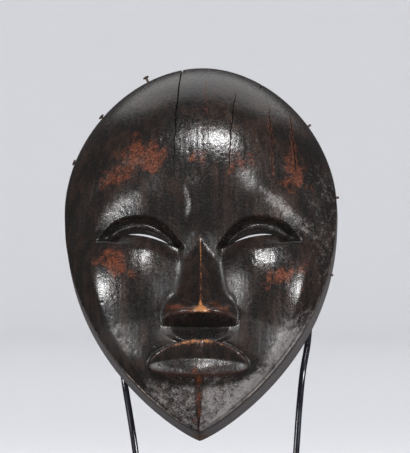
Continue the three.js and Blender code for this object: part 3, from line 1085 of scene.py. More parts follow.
def finish_piece(piece: Object, material: Material, nodes: tuple[str, ...]) -> Object:
    """Dress a piece and tie it to the frame.

    Args:
        piece: The finished object.
        material: Its material.
        nodes: The CAD nodes that it stands for.

    Returns:
        The piece.
    """
    piece.data.materials.clear()
    piece.data.materials.append(material)
    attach(piece, BODY)
    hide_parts(*nodes)
    triangles = sum(len(p.vertices) - 2 for p in piece.data.polygons)
    LOG.info("%s: %d triangles", piece.name, triangles)
    return piece


def link(name: str, data: object) -> Object:
    """A new object in the scene that holds some data.

    Args:
        name: Its name.
        data: What it holds.

    Returns:
        The object.
    """
    thing = bpy.data.objects.new(name, data)
    bpy.context.scene.collection.objects.link(thing)
    return thing


def mesh_object(name: str, shape: BMesh) -> Object:
    """A linked object that holds a bmesh, which is freed.

    Args:
        name: Its name.
        shape: The bmesh.

    Returns:
        The object.
    """
    mesh = bpy.data.meshes.new(name)
    shape.to_mesh(mesh)
    shape.free()
    return link(name, mesh)


def read_places(mesh: Mesh) -> Values:
    """A mesh's vertices as rows of three numbers.

    Args:
        mesh: The mesh.

    Returns:
        The rows.
    """
    flat = np.empty(len(mesh.vertices) * 3)
    mesh.vertices.foreach_get("co", flat)
    return flat.reshape(-1, 3)


def write_places(mesh: Mesh, places: Values) -> None:
    """Move a mesh's vertices to rows of three numbers."""
    mesh.vertices.foreach_set("co", places.ravel())
    mesh.update()


def made_verts(made: dict[str, list]) -> list[BMVert]:
    """The vertices that an operator made."""
    return [g for g in made["geom"] if isinstance(g, BMVert)]


def set_outward(mesh: Mesh) -> None:
    """Turn every face of a closed mesh outwards.

    Args:
        mesh: The mesh.
    """
    shape = bmesh.new()
    shape.from_mesh(mesh)
    bmesh.ops.recalc_face_normals(shape, faces=shape.faces)
    shape.to_mesh(mesh)
    shape.free()


def set_smooth(mesh: Mesh, sharp_degrees: float) -> None:
    """Shade a mesh smooth but for edges sharper than an angle."""
    mesh.shade_smooth()
    mesh.set_sharp_from_angle(angle=math.radians(sharp_degrees))


def soften(shape: BMesh, edges: list[BMEdge], width: float, steps: int) -> None:
    """Round some edges to a width in millimetres.

    Args:
        shape: The bmesh.
        edges: The edges.
        width: The rounding, in millimetres.
        steps: How many steps.
    """
    bmesh.ops.bevel(
        shape, geom=edges, offset=width * MM, offset_type="OFFSET", affect="EDGES",
        segments=steps, profile=0.5, material=-1,
    )


def turned_body(profile: Pairs, sides: int, joined: float) -> BMesh:
    """A body turned about Z.

    Args:
        profile: Radius and height of each point of its half section.
        sides: How many sides it gets.
        joined: Vertices nearer than this become one.

    Returns:
        The body.
    """
    shape = bmesh.new()
    verts = [shape.verts.new((radius, 0.0, height)) for radius, height in profile]
    edges = [shape.edges.new(pair) for pair in zip(verts, verts[1:])]
    bmesh.ops.spin(
        shape, geom=verts + edges, cent=(0, 0, 0), axis=(0, 0, 1), angle=2 * math.pi,
        steps=sides, use_merge=True, use_duplicate=False,
    )
    bmesh.ops.remove_doubles(shape, verts=shape.verts, dist=joined)
    return shape


def stand_off(thing: Object, azimuth: float, elevation: float, distance: float, target: Triple) -> None:
    """Set a light or camera away from a target and turn it to it.

    Args:
        thing: The light or camera.
        azimuth: Degrees round the target from the front.
        elevation: Degrees up.
        distance: Metres.
        target: What it is turned to.
    """
    a, e = math.radians(azimuth), math.radians(elevation)
    back = Vector((math.sin(a) * math.cos(e), -math.cos(a) * math.cos(e), math.sin(e)))
    thing.location = Vector(target) + back * distance
    thing.rotation_mode = "QUATERNION"
    thing.rotation_quaternion = back.to_track_quat("Z", "Y")


@dataclass(frozen=True)
class Wave:
    """One kind of unevenness: its wave lengths, its pattern's seed, its height and finer layers."""

    size: Triple
    seed: float
    height: float = 1.0
    octaves: int = 1

    def at(self, rows: Values) -> Values:
        """Its height at places."""
        return ripple(rows, self.size, self.seed, self.octaves) * self.height


BROAD_CUTS = Wave((34.0, 34.0, 30.0), 4.2, 0.4)
FACETS = Wave((7.0, 7.0, 9.0), 9.1, 0.085)
FIBRES = Wave((1.9, 9.0, 26.0), 2.7, 0.05)
DENTS = Wave((2.6, 2.6, 3.4), 15.5)
DENT_DEPTH = 0.16
CROWN_WEAR = 0.5
EDGE_WAVE = Wave((11.0, 5.0, 14.0), 6.3)
EDGE_ROUGH = 0.16
GOUGE_SIZE = (9.0, 9.0, 13.0)
GOUGE_DEPTH = 1.1
LEAST_HOLLOW = 0.7
SHOVES = (Wave((9.0, 9.0, 13.0), 31.0, 6.0, 3), Wave((9.0, 9.0, 13.0), 47.0, 6.0, 3))
RED_GRAIN = Wave((4.0, 4.0, 5.0), 53.0, 0.5, 3)
DULL_GRAIN = Wave((3.0, 3.0, 4.0), 61.0, 0.9, 2)

ARRIS_ROUND = 0.35
HOLLOW_LEVEL = -100
# Rings from the arris to the back: inset, share of the edge's depth, and added depth
EDGE_RINGS = (
    (0.06, 1.0, -0.2), (0.0, 1.0, -0.8), (0.0, 0.7, 0.0), (0.0, 0.42, 0.0),
    (0.0, 0.15, 0.0), (0.08, 0.0, 0.8), (0.4, 0.0, 0.2), (1.0, 0.0, 0.0),
)
# Rings from the hollow out over the flat rim: inset, inset at the chin, and depth
LIP_RINGS = ((11.7, 17.6, 0.15), (11.0, 16.8, 0.0), (6.0, 9.0, 0.0))


@dataclass(frozen=True)
class WornPatch:
    """A soft oval of wear: where it is on the mask and how far it reaches, in millimetres."""

    x: float
    z: float
    wide: float
    tall: float
    strength: float = 0.5
    turn_degrees: float = 0.0

    def paint(self, x: Values, z: Values) -> Values:
        """The patch's strength at places on the mask, with no clear border.

        Args:
            x: Places across, in millimetres.
            z: Places up, in millimetres.

        Returns:
            Strengths.
        """
        turn = math.radians(self.turn_degrees)
        along = (x - self.x) * math.cos(turn) + (z - self.z) * math.sin(turn)
        up = (z - self.z) * math.cos(turn) - (x - self.x) * math.sin(turn)
        return self.strength * np.exp(-((along / self.wide) ** 2) - (up / self.tall) ** 2)


def patches(*rows: tuple[float, ...]) -> tuple[WornPatch, ...]:
    """Worn patches from rows of their values."""
    return tuple(WornPatch(*row) for row in rows)


def paint_all(chosen: tuple[WornPatch, ...], x: Values, z: Values) -> Values:
    """The strength of several patches together."""
    return sum(patch.paint(x, z) for patch in chosen)


def rows_of(*columns: Values) -> Values:
    """Columns of numbers as rows."""
    return np.stack(columns, axis=-1)


def unit_bar(steps: int) -> BMesh:
    """A bar from -1 to 1 each way, with some steps along Y.

    Args:
        steps: How many steps.

    Returns:
        The bar.
    """
    shape = bmesh.new()
    bmesh.ops.create_grid(shape, x_segments=1, y_segments=steps, size=1.0)
    upper = made_verts(bmesh.ops.extrude_face_region(shape, geom=list(shape.faces)))
    lower = [v for v in shape.verts if v not in set(upper)]
    bmesh.ops.translate(shape, verts=upper, vec=(0.0, 0.0, 1.0))
    bmesh.ops.translate(shape, verts=lower, vec=(0.0, 0.0, -1.0))
    return shape


@dataclass(frozen=True)
class Crack:
    """A drying crack: two ends on the mask, its opening and bite, in millimetres."""

    start: Span
    end: Span
    opening: float
    bite: float
    open_top: bool
    seed: float
    steps: int = 60
    waves: float = 9.0
    wander: float = 0.8
    near: float = 8.0
    outside: float = 4.5
    past_back: float = -4.0
    past_top: float = 3.0

    def wave_rows(self, t: Values) -> Values:
        """Where the noise is read for shares of the crack's length."""
        return rows_of(np.full_like(t, self.seed), t * 0, t * self.waves)

    def share_at(self, z: Values) -> Values:
        """Share of the crack's length at a height."""
        return (z - self.start[1]) / (self.end[1] - self.start[1])

    def middle(self, t: Values) -> Values:
        """The x of the crack's wandering middle line at shares of its length."""
        wander = ripple(self.wave_rows(t), (1.0, 1.0, 1.0), self.seed, 3) * self.wander
        return lerp(self.start[0], self.end[0], t) + wander * (1 - self.open_top * (1 - t) ** 2)

    def cutter(self) -> Object:
        """A thin wandering wedge along the crack, which ends past the crown if it is open there.

        Returns:
            The object to cut with.
        """
        piece = mesh_object("cut_crack", unit_bar(self.steps))
        flat = read_places(piece.data)
        t = (1 - flat[:, 1]) / 2
        x = self.middle(t)
        z = lerp(self.start[1], self.end[1], t)
        fade = (1 - t**7) if self.open_top else np.sin(np.pi * np.clip(t, 0, 1)) ** 0.45
        rough = ripple(self.wave_rows(t) * 2.3, (1.0, 1.0, 1.0), self.seed + 5.0)
        half = np.maximum(self.opening / 2 * fade * np.clip(0.85 + 0.3 * rough, 0.7, 1.15), 0.03)
        surface = FORM.face_depth(x, np.minimum(z, FORM.length - 0.5))
        inner = surface - self.bite * fade - 0.8
        if self.open_top:
            inner = np.where(t < 4.5 / self.steps, self.past_back, inner)
            z = np.where(t < 0.5 / self.steps, FORM.length + self.past_top, z)
        deep = flat[:, 2] < 0
        x = x + flat[:, 0] * half * np.where(deep, 0.4, 1.2)
        return placed_cutter(piece, x, np.where(deep, inner, surface + self.outside), z)

    def line(self, x: Values, z: Values) -> Values:
        """The crack's dark line, on where it is too fine to cut.

        Args:
            x: Places across, in millimetres.
            z: Places up, in millimetres.

        Returns:
            How dark each place is.
        """
        dark = np.zeros_like(x)
        close = np.abs(x - (self.start[0] + self.end[0]) / 2) < self.near
        near = np.flatnonzero(close & (z > self.end[1] - 4))
        t = self.share_at(z[near])
        ends = (1 - smooth(t, 0.85, 1.0)) * smooth(t, -0.02, 0.03 + 0.1 * (not self.open_top))
        across = bell(x[near], self.middle(np.clip(t, 0, 1)), 0.36 + 0.16 * self.opening)
        dark[near] = across * ends * min(0.4 + self.opening / 1.6, 1.0)
        return dark

    def stain(self, x: Values, z: Values) -> Values:
        """How much the wood next to the crack shows red.

        Args:
            x: Places across, in millimetres.
            z: Places up, in millimetres.

        Returns:
            Strengths.
        """
        t = np.clip(self.share_at(z), 0, 1)
        middle = lerp(self.start[0], self.end[0], t)
        near = np.flatnonzero(np.abs(x - middle) < self.near)
        middle[near] = self.middle(t[near])
        ends = window(z, (self.end[1] - 2, self.end[1] + 3), (self.start[1] - 3, self.start[1] + 2))
        return bell(x, middle, 0.7) * ends


CRACKS = (
    Crack((-12.6, 239.0), (-16.2, 163.0), 1.2, 5.0, True, 3.1),
    Crack((22.0, 216.0), (18.6, 157.0), 1.35, 4.0, False, 7.7),
    Crack((43.0, 210.0), (46.8, 158.0), 0.9, 2.6, False, 12.4),
    Crack((56.4, 203.0), (61.0, 160.0), 0.85, 2.4, False, 18.9),
    Crack((3.0, 226.0), (4.6, 196.0), 0.36, 1.6, False, 23.3),
    Crack((38.8, 233.0), (37.4, 221.0), 1.5, 3.0, False, 29.6),
)


def placed_cutter(piece: Object, x: Values, depth: Values, z: Values) -> Object:
    """Move a cutter's vertices to places on the mask and turn its faces outwards.

    Args:
        piece: The cutter.
        x: Places across, in millimetres.
        depth: Depths in millimetres.
        z: Places up, in millimetres.

    Returns:
        The cutter.
    """
    write_places(piece.data, PLACE.to_world(x, depth, z))
    set_outward(piece.data)
    return piece


@dataclass(frozen=True)
class Skin:
    """What the painter knows of each vertex.

    x, depth, z, half (the outline's half width), face (the carved surface's depth), sunk (how
    far the place is behind that surface) and over_edge (how far before the arris) are in
    millimetres; up, a and across are shares; front is 1 on the face and 0 behind it.
    """

    x: Values
    depth: Values
    z: Values
    up: Values
    a: Values
    half: Values
    across: Values
    face: Values
    sunk: Values
    over_edge: Values
    front: Values
    rows: Values

    @classmethod
    def of(cls, mesh: Mesh) -> "Skin":
        """Measure a mesh's vertices.

        Args:
            mesh: The carved mask.

        Returns:
            The measures of its vertices.
        """
        x, depth, z = PLACE.to_mask(read_places(mesh))
        x = x - FORM.drift(x, z)
        level = np.clip(z, 0.0, FORM.length)
        face = FORM.face_depth(x, level)
        half = np.maximum(FORM.half_width_at(level), TINY)
        over_edge = depth - FORM.edge_depth(level)
        front = smooth(over_edge, -1.2, -0.2) * (1 - smooth(face - depth, 4.0, 9.0))
        return cls(
            x, depth, z, z / FORM.length, np.abs(x) / FORM.half_width, half, np.abs(x) / half,
            face, face - depth, over_edge, front, rows_of(x, np.zeros_like(x), z),
        )

    def bent(self, spread: float = 2.2) -> Values:
        """How far the face round a place stands out over it, in millimetres."""
        steps = (spread, 0), (-spread, 0), (0, spread), (0, -spread)
        return sum(FORM.face_depth(self.x + dx, self.z + dz) for dx, dz in steps) / 4 - self.face


@dataclass(frozen=True)
class WearAndPaintedLight:
    """Where the mask is worn, polished or dull, and where shade and highlights are painted on it; its methods
    return one value a vertex.
    """

    red: tuple[WornPatch, ...] = patches(
        (-36.0, 170.0, 25.0, 17.0, 0.26, -12.0), (-34.0, 172.0, 15.0, 10.0, 0.34, -12.0),
        (-28.5, 163.0, 7.0, 5.0, 0.3), (-55.5, 157.0, 11.0, 8.5, 0.5, 30.0),
        (-2.0, 167.5, 7.0, 6.0, 0.46), (28.0, 166.0, 9.0, 8.0, 0.38),
        (58.0, 166.0, 8.0, 12.0, 0.38), (62.5, 156.0, 9.0, 7.0, 0.44),
        (-51.0, 99.0, 13.0, 9.5, 0.55, -20.0), (-58.0, 107.0, 7.0, 6.0, 0.35),
        (57.0, 97.0, 14.0, 8.0, 0.52, 8.0), (48.0, 90.0, 10.0, 7.0, 0.3),
        (83.5, 105.0, 4.0, 8.0, 0.42), (-13.5, 72.5, 8.0, 5.5, 0.58),
        (13.5, 72.5, 8.0, 5.0, 0.52), (50.0, 182.0, 24.0, 26.0, 0.17),
        (0.0, 50.5, 16.0, 3.2, 0.5), (-1.2, 31.0, 4.5, 5.0, 0.5), (0.0, 12.0, 2.2, 16.0, 0.5),
    )
    polished: tuple[WornPatch, ...] = patches(
        (11.0, 176.0, 26.0, 18.0, 1.0), (-36.0, 105.0, 15.0, 10.0, 0.7),
        (41.0, 103.0, 15.0, 10.0, 0.8), (-58.0, 81.0, 9.0, 15.0, 0.7),
        (58.0, 81.0, 9.0, 15.0, 0.7), (0.0, 36.0, 4.0, 3.0, 0.6),
    )
    unpolished: tuple[WornPatch, ...] = patches(
        (-56.0, 53.0, 18.0, 15.0, 0.75), (56.0, 53.0, 18.0, 15.0, 0.75),
        (-26.0, 83.0, 8.5, 16.0, 0.24), (26.0, 83.0, 8.5, 16.0, 0.24),
        (-27.5, 37.0, 6.0, 5.0, 0.5), (27.5, 37.0, 6.0, 5.0, 0.5),
        (-22.0, 57.0, 5.0, 4.0, 0.6), (21.0, 57.0, 5.0, 4.0, 0.6),
        (-27.5, 154.0, 8.0, 8.0, 0.12), (29.5, 156.0, 8.0, 9.0, 0.16),
        (0.0, 37.0, 34.0, 7.0, 0.12),
    )
    # Painted highlights on the brows and on the lower right cheek, laid on as pale patches
    painted_highlights: tuple[WornPatch, ...] = patches(
        (48.0, 141.5, 22.0, 6.0, 0.52, -38.0), (-48.0, 141.5, 18.0, 6.0, 0.44, 26.0),
        (55.0, 52.0, 17.0, 12.0, 0.27, 40.0),
    )
    # Painted shade at the nose's root
    nose_root: WornPatch = WornPatch(-1.0, 129.0, 24.0, 15.0, 0.75)

    def inside(self, skin: Skin) -> Values:
        """The raw hollow and the flat back."""
        walls = smooth(skin.sunk, 8.0, 12.0) * (1 - smooth(skin.across, 0.9, 0.97))
        return np.clip(walls + (skin.depth < 1.5) * (skin.across < 0.97), 0, 1)

    def cut_edge(self, skin: Skin) -> Values:
        """The flat-cut edge behind the arris."""
        return (1 - smooth(skin.over_edge, -1.4, -0.5)) * (skin.across > 0.9)

    def below_nose(self, skin: Skin) -> Values:
        """0 just below the nose, where nothing rubs, and 1 elsewhere.

        Args:
            skin: The mask's vertices.

        Returns:
            One value a vertex.
        """
        tip = FORM.nose.tip
        beneath = window(skin.up, (tip - 0.024, tip - 0.018), (tip - 0.003, tip))
        return 1 - beneath * (skin.a < 0.32)

    def red_wood(self, skin: Skin) -> Values:
        """Red brown wood, in ragged patches and along the finer cracks.

        Args:
            skin: The mask's vertices.

        Returns:
            One value a vertex.
        """
        across, up = (shove.at(skin.rows) for shove in SHOVES)
        red = paint_all(self.red, skin.x + across, skin.z + up) * (1.12 + RED_GRAIN.at(skin.rows))
        red = red + sum(crack.stain(skin.x, skin.z) for crack in CRACKS[1:]) * 0.6
        return np.clip(red, 0, 0.64) * skin.front * self.below_nose(skin)

    def gloss(self, skin: Skin) -> Values:
        """Wood that hands have polished."""
        return paint_all(self.polished, skin.x, skin.z) * skin.front

    def nose_ridge(self, skin: Skin) -> Values:
        """The fine line down the nose's ridge."""
        tip = FORM.nose.tip
        return bell(skin.x, 0.0, 0.5) * window(skin.up, (tip, tip + 0.02), (0.49, 0.51))

    def gold_wood(self, skin: Skin) -> Values:
        """Bare light wood on the nose's ridge, its tip and rim and the upper lip's edge.

        Args:
            skin: The mask's vertices.

        Returns:
            One value a vertex.
        """
        x, up, a, nose = skin.x, skin.up, skin.a, FORM.nose
        tip = bell(x, 0.0, 3.6) * bell(up, nose.tip + 0.01, 0.011)
        lip = bell(up, FORM.lip_heights(a)[0] - 0.004, 0.006) * (1 - smooth(a, 0.15, 0.24))
        rim = bell(up, nose.tip + 0.002, 0.007) * (1 - smooth(a, 0.16, 0.28))
        ridge = lerp(0.36, 0.56, smooth(up, 0.36, 0.46)) * self.nose_ridge(skin)
        above = smooth(up, nose.tip - 0.003, nose.tip + 0.002)
        gold = (ridge + 0.66 * tip + 0.26 * rim) * above + 0.46 * lip * lerp(1.0, 0.72, smooth(x, 6.0, 12.0))
        return np.clip(gold, 0, 0.7) * skin.front

    def bloom_and_painted_highlight(self, skin: Skin) -> Values:
        """A grey bloom on the chin, the lower lip and the lids, the right side painted paler, and painted
        highlights on the brows and the lower right cheek.

        Args:
            skin: The mask's vertices.

        Returns:
            One value a vertex.
        """
        x, up, a, mouth = skin.x, skin.up, skin.a, FORM.mouth
        keel_side = smooth(x, -4.0, 6.0)
        chin = 1 - smooth(up, mouth.bottom - 0.02, mouth.bottom + 0.05)
        chin = chin * smooth(skin.across, 0.02, 0.1)
        lower_edge = smooth(skin.across, 0.62, 0.9) * (1 - smooth(up, 0.22, 0.36)) * keel_side
        _, parting, under = FORM.lip_heights(a)
        lower_lip = window(up, (under, under + 0.02), (parting - 0.008, parting)) * (a < mouth.wide)
        right_side = smooth(x, 45.0, 80.0) * window(up, (0.2, 0.35), (0.68, 0.85))
        lid = bell(up, through(FORM.lid.line, a) - 0.002, 0.006) * window(a, (0.13, 0.24), (0.58, 0.7))
        grey_bloom_and_highlight = chin * lerp(0.42, 0.52, keel_side) + 0.4 * lower_edge + 0.08 * lower_lip
        # The right side painted paler, the lids greyed, and painted highlights on the brows and the lower
        # right cheek
        grey_bloom_and_highlight = grey_bloom_and_highlight + 0.3 * right_side + 0.38 * lid + paint_all(self.painted_highlights, x, skin.z)
        return np.clip(grey_bloom_and_highlight, 0, 0.6) * skin.front

    def arris(self, skin: Skin) -> Values:
        """The light line along the arris."""
        return 0.5 * bell(skin.over_edge, 0.0, 0.55) * smooth(skin.across, 0.93, 0.98)

    def painted_shade_and_crack_lines(self, skin: Skin) -> Values:
        """Painted shade in the sockets, at the nose's root and on the cracks' walls, the cracks' dark lines,
        and a dark line just inside the arris on the lower face.

        Args:
            skin: The mask's vertices.

        Returns:
            One value a vertex.
        """
        up, a = skin.up, skin.a
        slit = FORM.slit_line(a)
        # Painted shade in the sockets under the brows
        sockets = smooth(FORM.brow_height(a) - up, 0.0, 0.02) * smooth(up, slit, slit + 0.01)
        cracks = sum(crack.line(skin.x, skin.z) for crack in CRACKS)
        # Painted shade at the nose's root
        root = self.nose_root.paint(skin.x, skin.z) * skin.front * (1 - 0.9 * self.nose_ridge(skin))
        outline = bell((1 - skin.across) * skin.half, 1.7, 0.4) * (1 - smooth(up, 0.36, 0.46)) * skin.front
        painted_shade_and_crack_lines = np.maximum(sockets * (a < 0.7) * skin.front * 0.6, root)
        # Crack lines, painted shade on the cracks' walls and the dark line inside the arris
        return np.clip(painted_shade_and_crack_lines + (cracks + self.in_cracks(skin)) * skin.front + 0.7 * outline, 0, 1)

    def in_cracks(self, skin: Skin) -> Values:
        """The walls of the cracks, which get painted shade and lose their polish."""
        return smooth(skin.sunk, 1.0, 1.9)

    def nose_foot(self, skin: Skin) -> Values:
        """The crease where the nose meets the cheeks."""
        down = FORM.nose_down(skin.up)
        return bell(skin.a, FORM.nose_half_width(down) + 0.012, 0.016) * (down > 0) * (down < 1)

    def matt(self, skin: Skin) -> Values:
        """Wood that nobody's hands reach.

        Args:
            skin: The mask's vertices.

        Returns:
            One value a vertex.
        """
        matt = paint_all(self.unpolished, skin.x, skin.z) * (0.9 + DULL_GRAIN.at(skin.rows))
        matt = matt + 0.25 * self.nose_foot(skin) + self.in_cracks(skin)
        return np.clip(matt, 0, 0.9) * skin.front

    def grime(self, skin: Skin) -> Values:
        """Grime in what is hollow on the face."""
        lying = np.maximum(0.5 * smooth(skin.bent(), 0.05, 0.5), 0.52 * self.nose_foot(skin))
        return lying * skin.front * (1 - smooth(skin.across, 0.88, 0.95))

    def rubbed(self, skin: Skin) -> Values:
        """Rubbed edges on the face's lower half.

        Args:
            skin: The mask's vertices.

        Returns:
            One value a vertex.
        """
        worn = 0.58 * smooth(-skin.bent(), 0.16, 0.6) * skin.front * (1 - smooth(skin.across, 0.88, 0.95))
        worn = worn * (1 - smooth(skin.up, 0.4, 0.48)) * (1 - smooth(skin.across, 0.6, 0.75))
        return worn * self.below_nose(skin)

    def paint(self, mesh: Mesh) -> None:
        """Store every layer on the mesh, under the name that the material reads.

        Args:
            mesh: The cut mask.
        """
        skin = Skin.of(mesh)
        layers = {
            "hollow": self.inside, "band": self.cut_edge, "red_wear": self.red_wood,
            "polish": self.gloss, "gold_wear": self.gold_wood, "bloom_and_painted_highlight": self.bloom_and_painted_highlight,
            "edge_line": self.arris, "painted_shade_and_crack_lines": self.painted_shade_and_crack_lines, "unpolished": self.matt,
            "grime": self.grime, "ridge_wear": self.rubbed,
        }
        for name, layer in layers.items():
            stored = mesh.attributes.new(name, "FLOAT", "POINT")
            stored.data.foreach_set("value", np.asarray(layer(skin), dtype=np.float32))


@dataclass
class CarvedMask:
    """The mask: a carved face, a flat-cut edge, a flat rim and the hollow."""

    face_cells: tuple[int, int] = (230, 300)
    hollow_cells: tuple[int, int] = (78, 98)
    chin_share: float = 0.66
    outline_steps: int = 2001
    slit_steps: int = 28
    pit: Triple = (1.2, 0.9, 5.0)
    pit_sides: int = 14
    pit_shift: float = 1.6
    sharp_degrees: float = 48.0
    # What is worn on the mask, with the shade and highlights painted on it
    wear: WearAndPaintedLight = WearAndPaintedLight()
    groups: Groups = field(default_factory=Groups)

    def unit_outline(self, u: Values, v: Values) -> tuple[Values, Values]:
        """Carry a square grid onto the mask's outline.

        Args:
            u: Grid places across, from -1 to 1.
            v: Grid places up, from -1 to 1.

        Returns:
            Shares of the half width, and of the way up or down from the widest height.
        """
        p = u * np.sqrt(1 - v * v / 2)
        q = v * np.sqrt(1 - u * u / 2)
        angle = np.arctan2(np.abs(q), np.abs(p))
        t = np.sin(np.linspace(0, math.pi / 2, self.outline_steps))
        up, down = (
            np.interp(angle, np.arctan2(t, outline), np.hypot(t, outline))
            for outline in (FORM.crown_outline(t), FORM.chin_outline(t))
        )
        reach = np.where(q >= 0, up, down)
        return p * reach, q * reach

    def lay_out(self, u: Values, v: Values, inset: float, chin: float) -> tuple[Values, Values]:
        """Places on the mask's plane, drawn in from the outline by an inset.

        Args:
            u: Grid places across.
            v: Grid places up.
            inset: How far the outline is drawn in at the sides and crown.
            chin: How far it is drawn in at the chin.

        Returns:
            x and z in millimetres.
        """
        across, along = self.unit_outline(u, v)
        up = FORM.length - FORM.widest_height - inset
        down = FORM.widest_height - chin
        z = FORM.widest_height + along * np.where(along >= 0, up, down)
        return across * (FORM.half_width - inset), z

    def spaced(self, t: Values) -> Values:
        """Grid places, closer together towards the middle."""
        return t * (0.8 + 0.2 * t * t)

    def lowered(self, t: Values) -> Values:
        """Grid places up, with most rows below the widest height."""
        middle = 2 * self.chin_share - 1
        return np.where(t < middle, (t - middle) / (1 + middle), (t - middle) / (1 - middle))

    def blank(self) -> Object:
        """The whole closed skin, still flat: the face's grid, its edge and the hollow's grid.

        The edge's rings and the hollow are told apart by their height until they are placed.

        Returns:
            The flat piece.
        """
        shape = bmesh.new()
        across, up = self.face_cells
        bmesh.ops.create_grid(shape, x_segments=across, y_segments=up, size=1.0)
        border = [e for e in shape.edges if e.is_boundary]
        outer = self.extrude_rings(shape, border, len(EDGE_RINGS), -1.0)
        before = set(shape.verts)
        across, up = self.hollow_cells
        bmesh.ops.create_grid(shape, x_segments=across, y_segments=up, size=1.0)
        fresh = [v for v in shape.verts if v not in before]
        bmesh.ops.translate(shape, verts=fresh, vec=(0.0, 0.0, HOLLOW_LEVEL))
        border = [e for e in shape.edges if e.is_boundary and e.verts[0].co.z == HOLLOW_LEVEL]
        inner = self.extrude_rings(shape, border, len(LIP_RINGS), 1.0)
        bmesh.ops.bridge_loops(shape, edges=outer + inner)
        return mesh_object("mask_carved", shape)

    def extrude_rings(self, shape: BMesh, edges: list[BMEdge], count: int, step: float) -> list[BMEdge]:
        """Carry a border on by some rings, one level apart.

        Args:
            shape: The mesh.
            edges: The border's edges.
            count: How many rings.
            step: The level between rings.

        Returns:
            The last ring's edges.
        """
        for _ in range(count):
            made = bmesh.ops.extrude_edge_only(shape, edges=edges)
            bmesh.ops.translate(shape, verts=made_verts(made), vec=(0.0, 0.0, step))
            edges = [g for g in made["geom"] if isinstance(g, BMEdge) and g.is_boundary]
        return edges

    def carve(self, mesh: Mesh) -> None:
        """Move the flat skin's vertices to the carved form.

        Args:
            mesh: The flat skin.
        """
        flat = read_places(mesh)
        level = np.rint(flat[:, 2]).astype(int)
        places = np.empty_like(flat)
        u = self.spaced(flat[:, 0])
        v = self.spaced(flat[:, 1])

        front = level == 0
        x, z = self.lay_out(u[front], self.lowered(flat[front, 1]), ARRIS_ROUND, ARRIS_ROUND)
        places[front] = self.carved_face(x, z)

        for ring, (inset, share, drop) in enumerate(EDGE_RINGS, start=1):
            chosen = level == -ring
            x, z = self.lay_out(u[chosen], self.lowered(flat[chosen, 1]), inset, inset)
            depth = FORM.edge_depth(z) * share + drop
            places[chosen] = self.roughened(x, depth, z, EDGE_ROUGH * bool(share))

        for ring, (inset, chin, drop) in enumerate(LIP_RINGS, start=1):
            chosen = level == HOLLOW_LEVEL + ring
            x, z = self.lay_out(u[chosen], v[chosen], inset, chin)
            places[chosen] = PLACE.to_world(x, np.full_like(x, drop), z)

        back = level == HOLLOW_LEVEL
        places[back] = self.hollow_face(u[back], v[back])
        write_places(mesh, places)

    def carved_face(self, x: Values, z: Values) -> Values:
        """The face with its hand-cut unevenness.

        Args:
            x: Places across, in millimetres.
            z: Places up, in millimetres.

        Returns:
            The places as rows of metres.
        """
        half = np.maximum(FORM.half_width_at(z), TINY)
        inside = 1 - smooth(np.abs(x) / half, 0.9, 1.0)
        flat = rows_of(x, np.zeros_like(x), z)
        dents = -DENT_DEPTH * smooth(DENTS.at(flat), 0.45, 0.8)
        cuts = (BROAD_CUTS.at(flat) + FACETS.at(flat) + dents) * inside + FIBRES.at(flat)
        crown_wear = -CROWN_WEAR * smooth(z / FORM.length, 0.9, 1.0)
        depth = FORM.face_depth(x, z) + cuts + crown_wear
        return PLACE.to_world(x + FORM.drift(x, z) * inside, depth, z)

    def roughened(self, x: Values, depth: Values, z: Values, amount: float) -> Values:
        """Places on the cut edge, a little uneven, as rows of metres.

        Args:
            x: Places across, in millimetres.
            depth: Depths in millimetres.
            z: Places up, in millimetres.
            amount: How uneven, in millimetres.

        Returns:
            The rows.
        """
        wave = np.clip(0.5 + EDGE_WAVE.at(rows_of(x, depth, z)), 0, None) * amount
        pull = 1 - wave / FORM.half_width
        return PLACE.to_world(x * pull, depth, z * pull + FORM.widest_height * (1 - pull))

    def hollow_face(self, u: Values, v: Values) -> Values:
        """The hollow with its gouge marks.

        Args:
            u: Grid places across.
            v: Grid places up.

        Returns:
            The places as rows of metres.
        """
        across, along = self.unit_outline(u, v)
        x, z = self.lay_out(u, v, FORM.rim_width, FORM.chin_rim)
        t = np.clip(np.abs(along), 0, 1)
        widest = np.maximum(np.where(along >= 0, FORM.crown_outline(t), FORM.chin_outline(t)), TINY)
        depth = FORM.hollow_depth(np.clip(np.abs(across) / widest, 0, 1), t, z)
        scaled = rows_of(x, depth, z) / np.array(GOUGE_SIZE)
        cells = np.array([noise.voronoi(Vector(p))[0][0] for p in scaled])
        gouged = depth - GOUGE_DEPTH * cells * smooth(depth, 2.0, 9.0)
        return PLACE.to_world(x, np.maximum(gouged, LEAST_HOLLOW), z)

    def slit_cutter(self, side: Side) -> Object:
        """An arched blade right through the wall at one eye.

        Args:
            side: The eye's side.

        Returns:
            The object to cut with.
        """
        slit = FORM.slit
        piece = mesh_object("cut_slit", unit_bar(self.slit_steps))
        width, along, level = read_places(piece.data).T
        a = slit.across + along * slit.reach
        opening = np.maximum(1 - along**2, 0.0) ** 0.5 * slit.opening / 2 + slit.least
        depth = FORM.forehead_depth * (0.5 + 0.5 * level)
        z = FORM.slit_line(a) * FORM.length + width * opening + (slit.tilt_depth - depth) * slit.tilt
        return placed_cutter(piece, side.value * a * FORM.half_width, depth, z)

    def nostril_cutter(self, side: Side) -> Object:
        """A small pit drilled up into the underside of the nose.

        Args:
            side: The nostril's side.

        Returns:
            The object to cut with.
        """
        shape = bmesh.new()
        low, high, deep = self.pit
        bmesh.ops.create_cone(
            shape, cap_ends=True, segments=self.pit_sides, radius1=low, radius2=high, depth=deep,
        )
        piece = mesh_object("cut_nostril", shape)
        x, depth, z = read_places(piece.data).T
        x = x + side.value * FORM.nose.nostril_across * FORM.half_width + self.pit_shift
        z = z + (FORM.nose.tip - FORM.nose.under / 2) * FORM.length
        return placed_cutter(piece, x, depth + FORM.forehead_depth, z)

